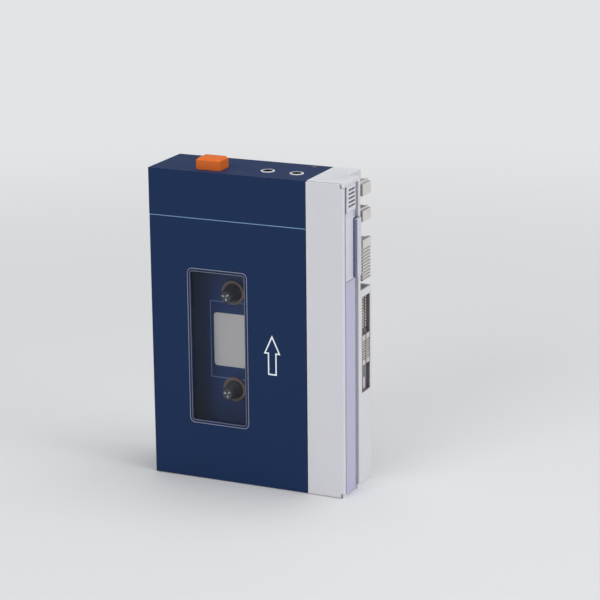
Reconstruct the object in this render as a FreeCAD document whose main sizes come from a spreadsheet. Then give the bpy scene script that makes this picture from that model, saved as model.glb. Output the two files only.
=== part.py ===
import FreeCAD, Part
import math
import os
import Sketcher

# A personal cassette player that stands on its lower end. Millimetres throughout.
# +X points right, +Y points to the back, +Z points up. The origin is the middle of the lower end.
# The cassette well, behind a side-hinged lid, fills the left of the case. A control column with the
# battery bay, the keys and the volume sliders runs up the right.

os.makedirs("parts", exist_ok=True)
doc = FreeCAD.newDocument("cassette_player")

SIZES = {
    # case
    "case_width": 88.0,
    "case_depth": 29.0,
    "case_height": 133.5,
    "column_width": 16.8,
    "shell_wall": 1.5,
    "skin_wall": 0.8,
    "divider_wall": 0.95,
    "seam_gap": 0.3,
    "slide_gap": 0.3,
    "shaft_gap": 0.05,
    # lid and window
    "lid_thickness": 1.2,
    "lid_line_drop": 20.0,
    "lid_axis_setback": 6.2,
    "catch_drop": 12.5,
    "catch_height": 5.0,
    "catch_length": 3.5,
    "catch_wall": 1.2,
    "catch_tooth": 0.7,
    "lid_pin_radius": 0.5,
    "lid_pin_length": 5.0,
    "window_inset": 23.5,
    "window_width": 24.5,
    "window_low": 26.2,
    "window_height": 64.6,
    "window_corner": 0.8,
    "window_rim": 1.6,
    "rim_depth": 0.6,
    "pane_thickness": 0.9,
    # deck and cassette place
    "cassette_well_depth": 13.5,
    "deck_thickness": 1.0,
    "hub_spacing": 42.5,
    "cassette_width": 63.8,
    "cassette_length": 100.4,
    "cassette_side_room": 4.7,
    "cassette_low": 8.2,
    "hub_inset": 34.5,
    "guide_height": 2.6,
    "guide_length": 6.0,
    "guide_depth": 6.0,
    "guide_left_inset": 9.0,
    "guide_right_inset": 16.0,
    "label_width": 19.2,
    "label_height": 23.4,
    "label_thickness": 0.3,
    "label_corner": 1.5,
    # reels
    "flange_radius": 5.2,
    "flange_thickness": 1.0,
    "spindle_radius": 2.7,
    "spindle_length": 8.5,
    "fin_radius": 4.1,
    "fin_width": 1.0,
    "fin_length": 5.6,
    "reel_shaft_radius": 1.2,
    "bush_radius": 2.4,
    "reel_wheel_radius": 8.0,
    "wheel_thickness": 2.2,
    # drive
    "capstan_inset": 9.0,
    "capstan_rise": 33.6,
    "capstan_radius": 1.0,
    "capstan_length": 8.4,
    "bearing_radius": 2.0,
    "flywheel_radius": 12.0,
    "flywheel_setback": 7.6,
    "flywheel_thickness": 2.6,
    "drive_boss_radius": 4.0,
    "belt_depth": 0.5,
    "belt_width": 1.2,
    "belt_gap": 0.1,
    "tyre_gap": 0.15,
    "motor_inset": 49.5,
    "motor_rise": 7.0,
    "motor_radius": 11.5,
    "motor_length": 6.0,
    "pulley_radius": 2.0,
    "bridge_width": 7.0,
    "bridge_thickness": 0.8,
    "bridge_post_radius": 1.5,
    # playing head and pinch roller
    "head_plate_thickness": 0.8,
    "head_plate_reach": 8.5,
    "head_plate_below": 20.4,
    "head_plate_above": 16.6,
    "guide_pin_radius": 1.0,
    "guide_head_radius": 1.9,
    "push_arm_height": 6.0,
    "head_gap": 0.4,
    "head_depth": 2.5,
    "head_height": 12.0,
    "head_half_width": 3.8,
    "tape_rise": 6.2,
    "play_travel": 2.8,
    "roller_radius": 2.5,
    "roller_half_width": 2.0,
    "arm_pivot_gap": 1.5,
    "arm_length": 13.0,
    "arm_width": 3.2,
    "arm_pin_radius": 0.6,
    "arm_post_radius": 0.9,
    # top controls
    "button_width": 10.8,
    "button_depth": 8.5,
    "button_inset": 20.0,
    "button_setback": 4.5,
    "button_height": 4.8,
    "button_chamfer": 1.0,
    "button_collar": 1.0,
    "button_collar_reach": 0.9,
    "button_spring_radius": 2.2,
    "switch_height": 6.0,
    "switch_width": 8.0,
    "switch_depth": 7.0,
    "jack_inset": 8.9,
    "jack_spacing": 13.0,
    "jack_setback": 11.6,
    "jack_bore_radius": 1.8,
    "jack_bore_length": 14.0,
    "jack_collar_wall": 0.3,
    "jack_block": 7.0,
    "jack_ring_radius": 2.95,
    "jack_ring_rise": 0.3,
    "lamp_inset": 7.4,
    "lamp_back_gap": 3.3,
    "lamp_length": 3.0,
    "lamp_rise": 0.2,
    "lamp_radius": 1.45,
    # control column
    "strip_recess": 0.7,
    "strip_thickness": 0.7,
    "groove_inset": 14.0,
    "groove_width": 1.5,
    "groove_depth": 1.5,
    "cover_pin_radius": 0.35,
    "cover_pin_inset": 0.4,
    "cover_pin_reach": 2.5,
    "knuckle_height": 1.6,
    "knuckle_rib": 0.6,
    "knuckle_room": 0.6,
    "cover_catch_low": 60.0,
    "cover_catch_height": 6.0,
    "cover_catch_length": 1.6,
    "cover_catch_wall": 0.8,
    "well_depth": 4.8,
    "well_width": 11.8,
    "well_drop": 48.5,
    "key_width": 8.9,
    "key_back_gap": 0.3,
    "key_stem_gap": 2.1,
    "key_length": 10.0,
    "key_travel": 2.8,
    "key_relief": 1.2,
    "key_relief_height": 1.0,
    "rewind_drop": 14.4,
    "rewind_height": 5.5,
    "forward_drop": 3.2,
    "forward_height": 6.0,
    "play_drop": 27.6,
    "play_height": 17.4,
    "play_slope": 3.0,
    "play_rib_count": 10,
    "play_rib_depth": 0.5,
    "bar_inset": 12.9,
    "bar_width": 4.3,
    "bar_drop": 16.8,
    "bar_height": 24.4,
    "bar_rise": 1.0,
    "bar_thickness": 1.6,
    "bar_stem_length": 2.4,
    "bar_stem_inset": 5.6,
    "bar_stem_width": 1.2,
    "key_spring_radius": 2.0,
    "spring_wire": 0.4,
    "tray_width": 9.0,
    "tray_drop": 3.1,
    "tray_height": 41.5,
    "tray_depth": 1.8,
    "slider_inset": 3.9,
    "slider_pitch": 4.3,
    "slider_width": 3.4,
    "slider_rest": 11.9,
    "slider_height": 12.9,
    "slider_rise": 1.35,
    "slider_stem": 1.0,
    "slider_stem_height": 3.0,
    "slider_groove_count": 8,
    "slider_groove_pitch": 1.1,
    "slider_groove_height": 0.55,
    "slider_groove_depth": 0.4,
    "slider_groove_start": 2.2,
    "slider_down": 11.5,
    "slider_up": 14.0,
    "scale_gap": 1.1,
    "scale_thickness": 0.15,
    "grille_width": 9.2,
    "grille_height": 10.9,
    "grille_drop": 1.6,
    "grille_groove_gap": 0.9,
    "grille_thickness": 0.6,
    "grille_slot_count": 5,
    "grille_slot_pitch": 1.68,
    "grille_slot_height": 0.8,
    "grille_slot_start": 1.7,
    "capsule_radius": 4.2,
    "capsule_depth": 5.2,
    "sound_hole_radius": 2.5,
    # batteries
    "cell_radius": 7.1,
    "cell_length": 49.2,
    "cell_nub_radius": 2.75,
    "cell_nub_length": 1.3,
    "cell_inset": 8.65,
    "cell_setback": 8.8,
    "cell_low": 10.0,
    "contact_thickness": 0.4,
    "contact_reach": 4.0,
    "cell_spring_foot": 3.6,
    "cell_spring_tip": 2.2,
    # electronics and fasteners
    "board_thickness": 1.2,
    "board_back_gap": 0.8,
    "board_side_gap": 4.5,
    "board_column_gap": 3.4,
    "board_low": 10.0,
    "board_top_gap": 29.5,
    "boss_radius": 2.2,
    "screw_head_radius": 1.9,
    "screw_head_height": 0.9,
    "screw_radius": 0.9,
    "post_inset_left": 4.3,
    "post_inset_right": 9.0,
    "post_inset_low": 5.0,
    "post_inset_high": 3.0,
    "tongue_low": 20.0,
    "tongue_high": 77.0,
    "tongue_height": 8.0,
    "tongue_reach": 5.0,
    "tongue_screw_inset": 2.6,
}

# Places that follow from the sizes, as formulas of the cells above them.
PLACES = {
    "right_x": "case_width / 2",
    "front_y": "-case_depth / 2",
    "back_y": "case_depth / 2",
    "split_x": "right_x - column_width",
    "lid_line_z": "case_height - lid_line_drop",
    "lid_axis_y": "front_y + lid_axis_setback",
    "deck_face_y": "front_y + cassette_well_depth",
    "cassette_right": "split_x - cassette_side_room",
    "cassette_left": "cassette_right - cassette_width",
    "cassette_high": "cassette_low + cassette_length",
    "window_right": "cassette_right - window_inset",
    "window_left": "window_right - window_width",
    "window_high": "window_low + window_height",
    "hub_x": "cassette_right - hub_inset",
    "hub_middle_z": "(cassette_low + cassette_high) / 2",
    "spindle_tip_y": "deck_face_y - spindle_length",
    "capstan_x": "cassette_right - capstan_inset",
    "capstan_z": "hub_middle_z + capstan_rise",
    "capstan_tip_y": "deck_face_y - capstan_length",
    "flywheel_front_y": "deck_face_y + flywheel_setback",
    "motor_x": "cassette_right - motor_inset",
    "motor_z": "capstan_z + motor_rise",
    "head_plate_left": "cassette_right - head_plate_reach",
    "head_plate_low": "hub_middle_z - head_plate_below",
    "head_plate_high": "hub_middle_z + head_plate_above",
    "tape_y": "deck_face_y - tape_rise",
    "roller_rest_x": "cassette_right + slide_gap + roller_radius",
    "arm_pivot_x": "cassette_right + arm_pivot_gap",
    "arm_pivot_z": "capstan_z + arm_length",
    "button_left": "button_inset - right_x",
    "button_front": "front_y + button_setback",
    "jack_right_x": "split_x - jack_inset",
    "jack_left_x": "jack_right_x - jack_spacing",
    "jack_y": "front_y + jack_setback",
    "lamp_x": "split_x - lamp_inset",
    "lamp_y": "back_y - lamp_back_gap",
    "groove_back": "back_y - groove_inset",
    "groove_front": "groove_back - groove_width",
    "well_front": "back_y - well_width",
    "well_low": "case_height - well_drop",
    "key_back": "back_y - key_back_gap",
    "key_front": "key_back - key_width",
    "key_stem_back": "back_y - key_stem_gap",
    "key_stem_inner": "right_x - key_length",
    "rewind_high": "case_height - rewind_drop",
    "rewind_low": "rewind_high - rewind_height",
    "forward_high": "case_height - forward_drop",
    "forward_low": "forward_high - forward_height",
    "play_high": "case_height - play_drop",
    "play_low": "play_high - play_height",
    "bar_back": "back_y - bar_inset",
    "bar_front": "bar_back - bar_width",
    "bar_high": "case_height - bar_drop",
    "bar_low": "bar_high - bar_height",
    "tray_back": "back_y - shell_wall",
    "tray_front": "tray_back - tray_width",
    "tray_high": "well_low - tray_drop",
    "tray_low": "tray_high - tray_height",
    "slider_back_y": "back_y - slider_inset",
    "slider_front_y": "slider_back_y - slider_pitch",
    "slider_low": "tray_low + slider_rest",
    "slider_high": "slider_low + slider_height",
    "scale_low": "slider_high + scale_gap",
    "grille_back": "groove_front - grille_groove_gap",
    "grille_front": "grille_back - grille_width",
    "grille_high": "case_height - grille_drop",
    "grille_low": "grille_high - grille_height",
    "cell_x": "right_x - cell_inset",
    "cell_y": "front_y + cell_setback",
    "board_left": "board_side_gap - right_x",
    "board_right": "split_x - board_column_gap",
    "board_high": "case_height - board_top_gap",
}

sheet = doc.addObject("Spreadsheet::Sheet", "dim")
CELLS = list(SIZES.items()) + [(alias, f"={formula}") for alias, formula in PLACES.items()]
for row, (alias, content) in enumerate(CELLS, start=1):
    sheet.set(f"A{row}", alias)
    sheet.set(f"B{row}", str(content))
    sheet.setAlias(f"B{row}", alias)
doc.recompute()

# Faces and axes that several pieces share, as expressions of the sheet's cells.
LEFT = "(-dim.right_x)"
RIGHT = "dim.right_x"
FRONT = "dim.front_y"
BACK = "dim.back_y"
TOP = "dim.case_height"
SPLIT = "dim.split_x"
INNER_BACK = f"({BACK} - dim.shell_wall)"
INNER_TOP = f"({TOP} - dim.shell_wall)"
LID_BACK = f"({FRONT} + dim.lid_thickness)"
BEHIND_LID = f"({LID_BACK} + dim.seam_gap)"
SHELF_LOW = "(dim.lid_line_z + 0.2)"
SHELF_HIGH = f"({SHELF_LOW} + 1)"
LID_AXIS_X = f"({LEFT} + dim.lid_thickness)"
DECK_BACK = "(dim.deck_face_y + dim.deck_thickness)"
DECK_LEFT = f"({LEFT} + dim.shell_wall + 0.2)"
DECK_RIGHT = f"({SPLIT} - 0.2)"
UPPER_HUB_Z = "(dim.hub_middle_z + dim.hub_spacing / 2)"
LOWER_HUB_Z = "(dim.hub_middle_z - dim.hub_spacing / 2)"
MOVING_BACK = f"({DECK_BACK} + dim.slide_gap)"
PLATE_BACK = f"({MOVING_BACK} + dim.head_plate_thickness)"
WHEEL_FRONT = f"({PLATE_BACK} + dim.slide_gap)"
WHEEL_BACK = f"({WHEEL_FRONT} + dim.wheel_thickness)"
FLYWHEEL_BACK = "(dim.flywheel_front_y + dim.flywheel_thickness)"
BELT_Y = "(dim.flywheel_front_y + dim.flywheel_thickness / 2)"
DIVIDER_INNER = f"({SPLIT} + dim.divider_wall)"
SIDE_INNER = f"({RIGHT} - dim.shell_wall)"
WELL_FLOOR = f"({RIGHT} - dim.well_depth)"
TRAY_FLOOR = f"({RIGHT} - dim.tray_depth)"
GROOVE_FLOOR = f"({RIGHT} - dim.groove_depth)"
STRIP_FACE = f"({RIGHT} - dim.strip_recess)"
STRIP_BACK = f"({STRIP_FACE} - dim.strip_thickness)"
COVER_AXIS_X = f"({RIGHT} - dim.lid_thickness / 2)"
COVER_AXIS_Y = f"({FRONT} + dim.lid_thickness / 2)"
COVER_AXIS = (COVER_AXIS_X, COVER_AXIS_Y)
STRIP_END_Y = (f"({BEHIND_LID} + dim.knuckle_rib)", "(dim.groove_front - 0.1)")

TURN = {
    "x": FreeCAD.Rotation(FreeCAD.Vector(0, 1, 0), 90),
    "y": FreeCAD.Rotation(FreeCAD.Vector(1, 0, 0), -90),
    "z": FreeCAD.Rotation(),
}
SUBPARTS = []


def value(expression):
    """The present value of an expression of the sheet's cells."""
    return float(sheet.evalExpression(str(expression)))


def place(thing, x, y, z):
    """Bind where the object stands to three expressions."""
    for letter, expression in zip("xyz", (x, y, z)):
        thing.setExpression(f".Placement.Base.{letter}", f"({expression}) * 1 mm")


def box(x, y, z, name="block"):
    """A block between the two ends given for each axis."""
    block = doc.addObject("Part::Box", name)
    for side, (low, high) in zip(("Length", "Width", "Height"), (x, y, z)):
        block.setExpression(side, f"({high}) - ({low})")
    place(block, x[0], y[0], z[0])
    return block


def rod(axis, radius, ends, across, name="rod"):
    """A cylinder along axis between two ends, centred on the two other coordinates in X, Y, Z order."""
    cylinder = doc.addObject("Part::Cylinder", name)
    cylinder.Placement = FreeCAD.Placement(FreeCAD.Vector(), TURN[axis])
    cylinder.setExpression("Radius", str(radius))
    cylinder.setExpression("Height", f"({ends[1]}) - ({ends[0]})")
    where = list(across)
    where.insert("xyz".index(axis), ends[0])
    place(cylinder, *where)
    return cylinder


def fuse(*pieces, name="joined"):
    """One solid of several that touch or overlap."""
    joined = doc.addObject("Part::MultiFuse", name)
    joined.Shapes = list(pieces)
    joined.Refine = True
    return joined


def cut(base, *tools, name="cut"):
    """The base without the tools."""
    result = doc.addObject("Part::Cut", name)
    result.Base = base
    result.Tool = tools[0] if len(tools) == 1 else fuse(*tools, name="tools")
    result.Refine = True
    return result


def group(*pieces, name="group"):
    """Several identical solids that share one node."""
    several = doc.addObject("Part::Compound", name)
    several.Links = list(pieces)
    return several


def subpart(label, thing):
    """Give the finished sub-part its node name."""
    thing.Label = label
    SUBPARTS.append(thing)
    return thing


def sketch(body, plane, outline, level):
    """A closed outline on a plane of the body's origin, each corner bound to expressions."""
    drawing = body.newObject("Sketcher::SketchObject", "outline")
    origin = [item for item in body.Origin.OriginFeatures if item.Role == plane][0]
    drawing.AttachmentSupport = (origin, "")
    drawing.MapMode = "FlatFace"
    sign = "-" if plane == "XZ_Plane" else ""
    drawing.setExpression(".AttachmentOffset.Base.z", f"{sign}({level}) * 1 mm")
    corners = [FreeCAD.Vector(value(across), value(up), 0) for across, up in outline]
    for index, corner in enumerate(corners):
        drawing.addGeometry(Part.LineSegment(corner, corners[(index + 1) % len(corners)]), False)
    for index in range(len(corners)):
        drawing.addConstraint(Sketcher.Constraint("Coincident", index, 2, (index + 1) % len(corners), 1))
    for index, corner in enumerate(corners):
        for kind, expression, size in zip(("DistanceX", "DistanceY"), outline[index], corner):
            number = drawing.addConstraint(Sketcher.Constraint(kind, -1, 1, index, 1, size))
            drawing.setExpression(f"Constraints[{number}]", f"({expression}) * 1 mm")
    return drawing


def rectangle(across, up):
    """The four corners of a rectangle between two ends each way."""
    return [(across[0], up[0]), (across[1], up[0]), (across[1], up[1]), (across[0], up[1])]


def pad(body, plane, outline, ends):
    """Add the outline, extruded between two ends along the plane's normal axis."""
    drawing = sketch(body, plane, outline, ends[0])
    feature = body.newObject("PartDesign::Pad", "pad")
    feature.Profile = drawing
    feature.setExpression("Length", f"({ends[1]}) - ({ends[0]})")
    feature.Reversed = plane == "XZ_Plane"
    drawing.Visibility = False
    doc.recompute()
    return feature


def pocket(body, plane, outline, ends):
    """Take the outline away, extruded between two ends along the plane's normal axis."""
    before = body.Shape.Volume
    drawing = sketch(body, plane, outline, ends[0])
    feature = body.newObject("PartDesign::Pocket", "pocket")
    feature.Profile = drawing
    feature.setExpression("Length", f"({ends[1]}) - ({ends[0]})")
    feature.Reversed = plane != "XZ_Plane"
    doc.recompute()
    if body.Shape.Volume >= before - 1e-6:
        raise ValueError(f"a pocket of {body.Name} cuts nothing")
    return feature


def edges(shape, test):
    """The names of the shape's edges whose bounding box passes the test."""
    return [f"Edge{index}" for index, edge in enumerate(shape.Edges, start=1) if test(edge.BoundBox)]


def dress(body, kind, size, test):
    """Fillet or chamfer the edges of the body that pass the test."""
    tip = body.Tip
    feature = body.newObject(f"PartDesign::{kind}", kind.lower())
    feature.Base = (tip, edges(tip.Shape, test))
    feature.setExpression("Radius" if kind == "Fillet" else "Size", str(size))
    doc.recompute()
    return feature


def at(number, expression):
    """True where a measured coordinate equals the expression's value."""
    return abs(number - value(expression)) < 1e-4


# ---------------------------------------------------------------- case shells

def screw_posts():
    """X and Z of the four posts that carry the deck."""
    across = f"({DECK_LEFT} + dim.post_inset_left)", f"({DECK_RIGHT} - dim.post_inset_right)"
    up = "dim.post_inset_low", "(dim.lid_line_z - dim.post_inset_high)"
    return [(x, z) for x in across for z in up]


def tongues():
    """Z of both ends of each of the two tongues that tie the column to the case."""
    return [(low, f"({low} + dim.tongue_height)") for low in ("dim.tongue_low", "dim.tongue_high")]


def tongue_screws():
    """X and Z of the screw through each tongue."""
    return [(TONGUE_SCREW_X, f"(({low} + {high}) / 2)") for low, high in tongues()]


def cover_bosses():
    """X of the two bosses that take the upper case screws."""
    return [f"({LEFT} + 6)", f"({SPLIT} - 12)"]


COVER_BOSS_Z = f"({TOP} - 9)"
TONGUE_END = f"({DIVIDER_INNER} + dim.tongue_reach)"
TONGUE_SCREW_X = f"({TONGUE_END} - dim.tongue_screw_inset)"
TONGUE_Y = (f"{INNER_BACK} - dim.shell_wall", INNER_BACK)


def rear_case():
    """Back, left and lower walls in one moulding, with posts for the deck and two tongues."""
    back = box((LEFT, SPLIT), (INNER_BACK, BACK), ("0", TOP))
    low = box((LEFT, SPLIT), (BEHIND_LID, BACK), ("0", "dim.shell_wall"))
    wall_front = "dim.lid_axis_y + dim.lid_thickness + dim.seam_gap + 0.1"
    left = box((LEFT, f"{LEFT} + dim.shell_wall"), (wall_front, BACK), ("0", "dim.lid_line_z"))
    posts = [rod("y", "dim.boss_radius", (DECK_BACK, BACK), post) for post in screw_posts()]
    ties = [box((f"{SPLIT} - 3", TONGUE_END), TONGUE_Y, up) for up in tongues()]
    holes = [
        rod("y", "dim.screw_radius", (f"{DECK_BACK} - 1", f"{DECK_BACK} + 7"), post)
        for post in screw_posts()
    ]
    holes += [rod("y", "dim.screw_radius", (f"{INNER_BACK} - 4", BACK), screw) for screw in tongue_screws()]
    holes += [rod("y", "dim.screw_radius", (FRONT, BACK), (x, COVER_BOSS_Z)) for x in cover_bosses()]
    holes += [
        rod("y", "dim.screw_head_radius", (f"{BACK} - dim.screw_head_height", BACK), (x, COVER_BOSS_Z))
        for x in cover_bosses()
    ]
    holes.append(rod("z", "dim.lid_pin_radius", ("0.4", "dim.shell_wall"), (LID_AXIS_X, "dim.lid_axis_y")))
    subpart("rear_case", cut(fuse(back, low, left, *posts, *ties), *holes))


def top_cover():
    """Upper front panel, top and left end in one moulding, with the shelf that closes the well."""
    front = box((LEFT, SPLIT), (FRONT, f"{FRONT} + dim.shell_wall"), (SHELF_LOW, TOP))
    top = box((LEFT, SPLIT), (FRONT, INNER_BACK), (INNER_TOP, TOP))
    left = box((LEFT, f"{LEFT} + dim.shell_wall"), (FRONT, INNER_BACK), (SHELF_LOW, TOP))
    shelf = box((LEFT, SPLIT), (FRONT, DECK_BACK), (SHELF_LOW, SHELF_HIGH))
    bosses = [
        rod("y", "dim.boss_radius", (f"{INNER_BACK} - 7", INNER_BACK), (x, COVER_BOSS_Z))
        for x in cover_bosses()
    ]
    webs = [
        box((f"{x} - 0.6", f"{x} + 0.6"), (f"{INNER_BACK} - 7", INNER_BACK), (COVER_BOSS_Z, INNER_TOP))
        for x in cover_bosses()
    ]
    holes = [
        rod("y", "dim.screw_radius", (f"{INNER_BACK} - 6", INNER_BACK), (x, COVER_BOSS_Z))
        for x in cover_bosses()
    ]
    holes.append(
        box(
            ("dim.button_left - dim.slide_gap", "dim.button_left + dim.button_width + dim.slide_gap"),
            ("dim.button_front - dim.slide_gap", "dim.button_front + dim.button_depth + dim.slide_gap"),
            (INNER_TOP, TOP),
        )
    )
    for x in ("dim.jack_left_x", "dim.jack_right_x"):
        holes.append(rod("z", "dim.jack_ring_radius", (INNER_TOP, TOP), (x, "dim.jack_y")))
    holes.append(rod("z", "dim.lamp_radius", (INNER_TOP, TOP), ("dim.lamp_x", "dim.lamp_y")))
    holes.append(
        rod("z", "dim.lid_pin_radius", (SHELF_LOW, SHELF_HIGH), (LID_AXIS_X, "dim.lid_axis_y"))
    )
    subpart("top_cover", cut(fuse(front, top, left, shelf, *bosses, *webs), *holes))


def hinge_pins():
    """Two short steel pins that carry the lid and two thinner ones that carry the battery cover."""
    lid_across = (LID_AXIS_X, "dim.lid_axis_y")
    pins = [
        rod("z", "dim.lid_pin_radius", ("0.4", "0.4 + dim.lid_pin_length"), lid_across),
        rod("z", "dim.lid_pin_radius", (f"{SHELF_HIGH} - dim.lid_pin_length", SHELF_HIGH), lid_across),
    ]
    subpart("lid_hinge_pins", group(*pins))
    pins = [rod("z", "dim.cover_pin_radius", ends, COVER_AXIS) for ends in cover_pin_ends()]
    subpart("cover_hinge_pins", group(*pins))


# ---------------------------------------------------------------- lid

def window_outline(grow):
    """The window's corners, moved out by grow on each side."""
    across = (f"dim.window_left - {grow}", f"dim.window_right + {grow}")
    return rectangle(across, (f"dim.window_low - {grow}", f"dim.window_high + {grow}"))


def round_window(body, grow):
    """Round the four corners of the window outline that was moved out by grow."""
    sides = (f"dim.window_left - {grow}", f"dim.window_right + {grow}")
    dress(
        body,
        "Fillet",
        f"dim.window_corner + {grow}",
        lambda b: b.YLength > 0.1 and b.XLength + b.ZLength < 0.01 and any(at(b.XMin, x) for x in sides),
    )


def lid():
    """Flat front door with a rebated window and a rolled left skirt that carries the hinge."""
    body = doc.addObject("PartDesign::Body", "lid_plate")
    low, high = "dim.seam_gap", "(dim.lid_line_z - 0.1)"
    right = f"({SPLIT} - dim.seam_gap / 2)"
    skirt_low = "(dim.shell_wall + dim.seam_gap)"
    pad(body, "XZ_Plane", rectangle((LEFT, right), (low, high)), (FRONT, LID_BACK))
    pocket(body, "XZ_Plane", window_outline("0"), (FRONT, LID_BACK))
    round_window(body, "0")
    pocket(body, "XZ_Plane", window_outline("dim.window_rim"), (FRONT, f"{FRONT} + dim.rim_depth"))
    round_window(body, "dim.window_rim")
    across = (LID_AXIS_X, "dim.lid_axis_y")
    skirt = box((LEFT, LID_AXIS_X), (FRONT, "dim.lid_axis_y"), (skirt_low, high))
    barrel = rod("z", "dim.lid_thickness", (skirt_low, high), across)
    hook_side = f"({right} - dim.catch_wall)"
    hook_end = f"({LID_BACK} + dim.catch_length)"
    up = ("dim.lid_line_z - dim.catch_drop", "dim.lid_line_z - dim.catch_drop + dim.catch_height")
    hook = box((f"{hook_side} - dim.catch_wall", hook_side), (LID_BACK, hook_end), up)
    tooth = box((hook_side, f"{hook_side} + dim.catch_tooth"), (f"{hook_end} - 0.8", hook_end), up)
    bore = "dim.lid_pin_radius + dim.shaft_gap"
    bores = [
        rod("z", bore, (skirt_low, "dim.lid_pin_length + 1"), across),
        rod("z", bore, (f"{high} - dim.lid_pin_length", high), across),
    ]
    subpart("lid", cut(fuse(body, skirt, barrel, hook, tooth), *bores))


def window():
    """Clear pane in the lid's opening and the flat rim set round it."""
    body = doc.addObject("PartDesign::Body", "rim")
    pad(body, "XZ_Plane", window_outline("dim.window_rim"), (FRONT, f"{FRONT} + dim.rim_depth"))
    round_window(body, "dim.window_rim")
    pocket(body, "XZ_Plane", window_outline("0"), (FRONT, f"{FRONT} + dim.rim_depth"))
    round_window(body, "0")
    subpart("window_rim", body)
    body = doc.addObject("PartDesign::Body", "pane")
    pad(body, "XZ_Plane", window_outline("0"), (f"{LID_BACK} - dim.pane_thickness", LID_BACK))
    round_window(body, "0")
    subpart("window_pane", body)


def cassette_springs():
    """Two bowed steel leaves behind the lid, one each side of the window."""
    leaves = []
    for left in ("dim.window_left - 8", "dim.window_right + 5"):
        body = doc.addObject("PartDesign::Body", "leaf")
        middle = "(dim.window_low + dim.window_high) / 2"
        foot = LID_BACK
        crest = f"({LID_BACK} + 1.5)"
        outline = [
            (foot, f"{middle} - 16"),
            (foot, f"{middle} - 12"),
            (crest, f"{middle} - 3"),
            (crest, f"{middle} + 3"),
            (foot, f"{middle} + 12"),
            (foot, f"{middle} + 16"),
            (f"{foot} + 0.3", f"{middle} + 16"),
            (f"{foot} + 0.3", f"{middle} + 12"),
            (f"{crest} + 0.3", f"{middle} + 3"),
            (f"{crest} + 0.3", f"{middle} - 3"),
            (f"{foot} + 0.3", f"{middle} - 12"),
            (f"{foot} + 0.3", f"{middle} - 16"),
        ]
        pad(body, "YZ_Plane", outline, (left, f"{left} + 4"))
        leaves.append(body)
    subpart("cassette_springs", group(*leaves))


# ---------------------------------------------------------------- deck and cassette place

# The two openings the roller's pin swings through: left, lower and upper sides from the capstan.
ROLLER_WINDOWS = ((2.6, -1.6, 3.6), (1.3, 1.8, 4.2))


def deck():
    """Steel plate behind the cassette, with holes for the reels, the capstan, the head and the roller."""
    body = doc.addObject("PartDesign::Body", "deck")
    ends = ("dim.deck_face_y", DECK_BACK)
    pad(body, "XZ_Plane", rectangle((DECK_LEFT, DECK_RIGHT), ("dim.shell_wall", SHELF_LOW)), ends)
    head_window = rectangle(
        ("dim.cassette_right - dim.play_travel - 1.5", DECK_RIGHT),
        ("dim.hub_middle_z - dim.head_height / 2 - 1", "dim.hub_middle_z + dim.head_height / 2 + 1"),
    )
    pocket(body, "XZ_Plane", head_window, ends)
    for left, low, high in ROLLER_WINDOWS:
        up = (f"dim.capstan_z + {low}", f"dim.capstan_z + {high}")
        pocket(body, "XZ_Plane", rectangle((f"dim.capstan_x + {left}", DECK_RIGHT), up), ends)
    holes = [rod("y", "dim.bush_radius", ends, ("dim.hub_x", z)) for z in (UPPER_HUB_Z, LOWER_HUB_Z)]
    holes.append(rod("y", "dim.bearing_radius", ends, ("dim.capstan_x", "dim.capstan_z")))
    holes += [rod("y", "dim.screw_radius", ends, post) for post in screw_posts()]
    subpart("deck_plate", cut(body, *holes))


def deck_label():
    """Pale plate between the two spindles."""
    body = doc.addObject("PartDesign::Body", "label")
    middle = "(dim.hub_middle_z)"
    across = ("dim.hub_x - dim.label_width / 2", "dim.hub_x + dim.label_width / 2")
    up = (f"{middle} - dim.label_height / 2", f"{middle} + dim.label_height / 2")
    ends = ("dim.deck_face_y - dim.label_thickness", "dim.deck_face_y")
    pad(body, "XZ_Plane", rectangle(across, up), ends)
    dress(body, "Fillet", "dim.label_corner", lambda b: b.XLength + b.ZLength < 0.01)
    subpart("deck_label_plate", body)


def cassette_guides():
    """Four blocks on the deck that locate a cassette's ends."""
    ends = ("dim.deck_face_y - dim.guide_depth", "dim.deck_face_y")
    low = ("dim.cassette_low - dim.slide_gap - dim.guide_height", "dim.cassette_low - dim.slide_gap")
    high = ("dim.cassette_high + dim.slide_gap", "dim.cassette_high + dim.slide_gap + dim.guide_height")
    starts = ("(dim.cassette_left + dim.guide_left_inset)", "(dim.cassette_right - dim.guide_right_inset)")
    sides = [(start, f"{start} + dim.guide_length") for start in starts]
    subpart("cassette_guides", group(*[box(x, ends, z) for x in sides for z in (low, high)]))


def deck_screws():
    """Pan-head screws that hold the deck to its posts."""
    head_front = "dim.deck_face_y - dim.screw_head_height"
    screws = []
    for post in screw_posts():
        head = rod("y", "dim.screw_head_radius", (head_front, "dim.deck_face_y"), post)
        shank = rod("y", "dim.screw_radius", ("dim.deck_face_y", f"{DECK_BACK} + 6"), post)
        screws.append(fuse(head, shank))
    subpart("deck_screws", group(*screws))


def case_screws():
    """Screws in the back, two into the top cover and two through the column into the tongues."""
    head_ends = (f"{BACK} - dim.screw_head_height", BACK)
    places = [((x, COVER_BOSS_Z), 5) for x in cover_bosses()]
    places += [(screw, 2) for screw in tongue_screws()]
    screws = []
    for across, depth in places:
        head = rod("y", "dim.screw_head_radius", head_ends, across)
        shank = rod("y", "dim.screw_radius", (f"{INNER_BACK} - {depth}", head_ends[0]), across)
        slot = box(
            (f"{across[0]} - 1.2", f"{across[0]} + 1.2"),
            (f"{BACK} - 0.4", BACK),
            (f"{across[1]} - 0.25", f"{across[1]} + 0.25"),
        )
        screws.append(cut(fuse(head, shank), slot))
    subpart("case_screws", group(*screws))


# ---------------------------------------------------------------- reels

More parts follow.
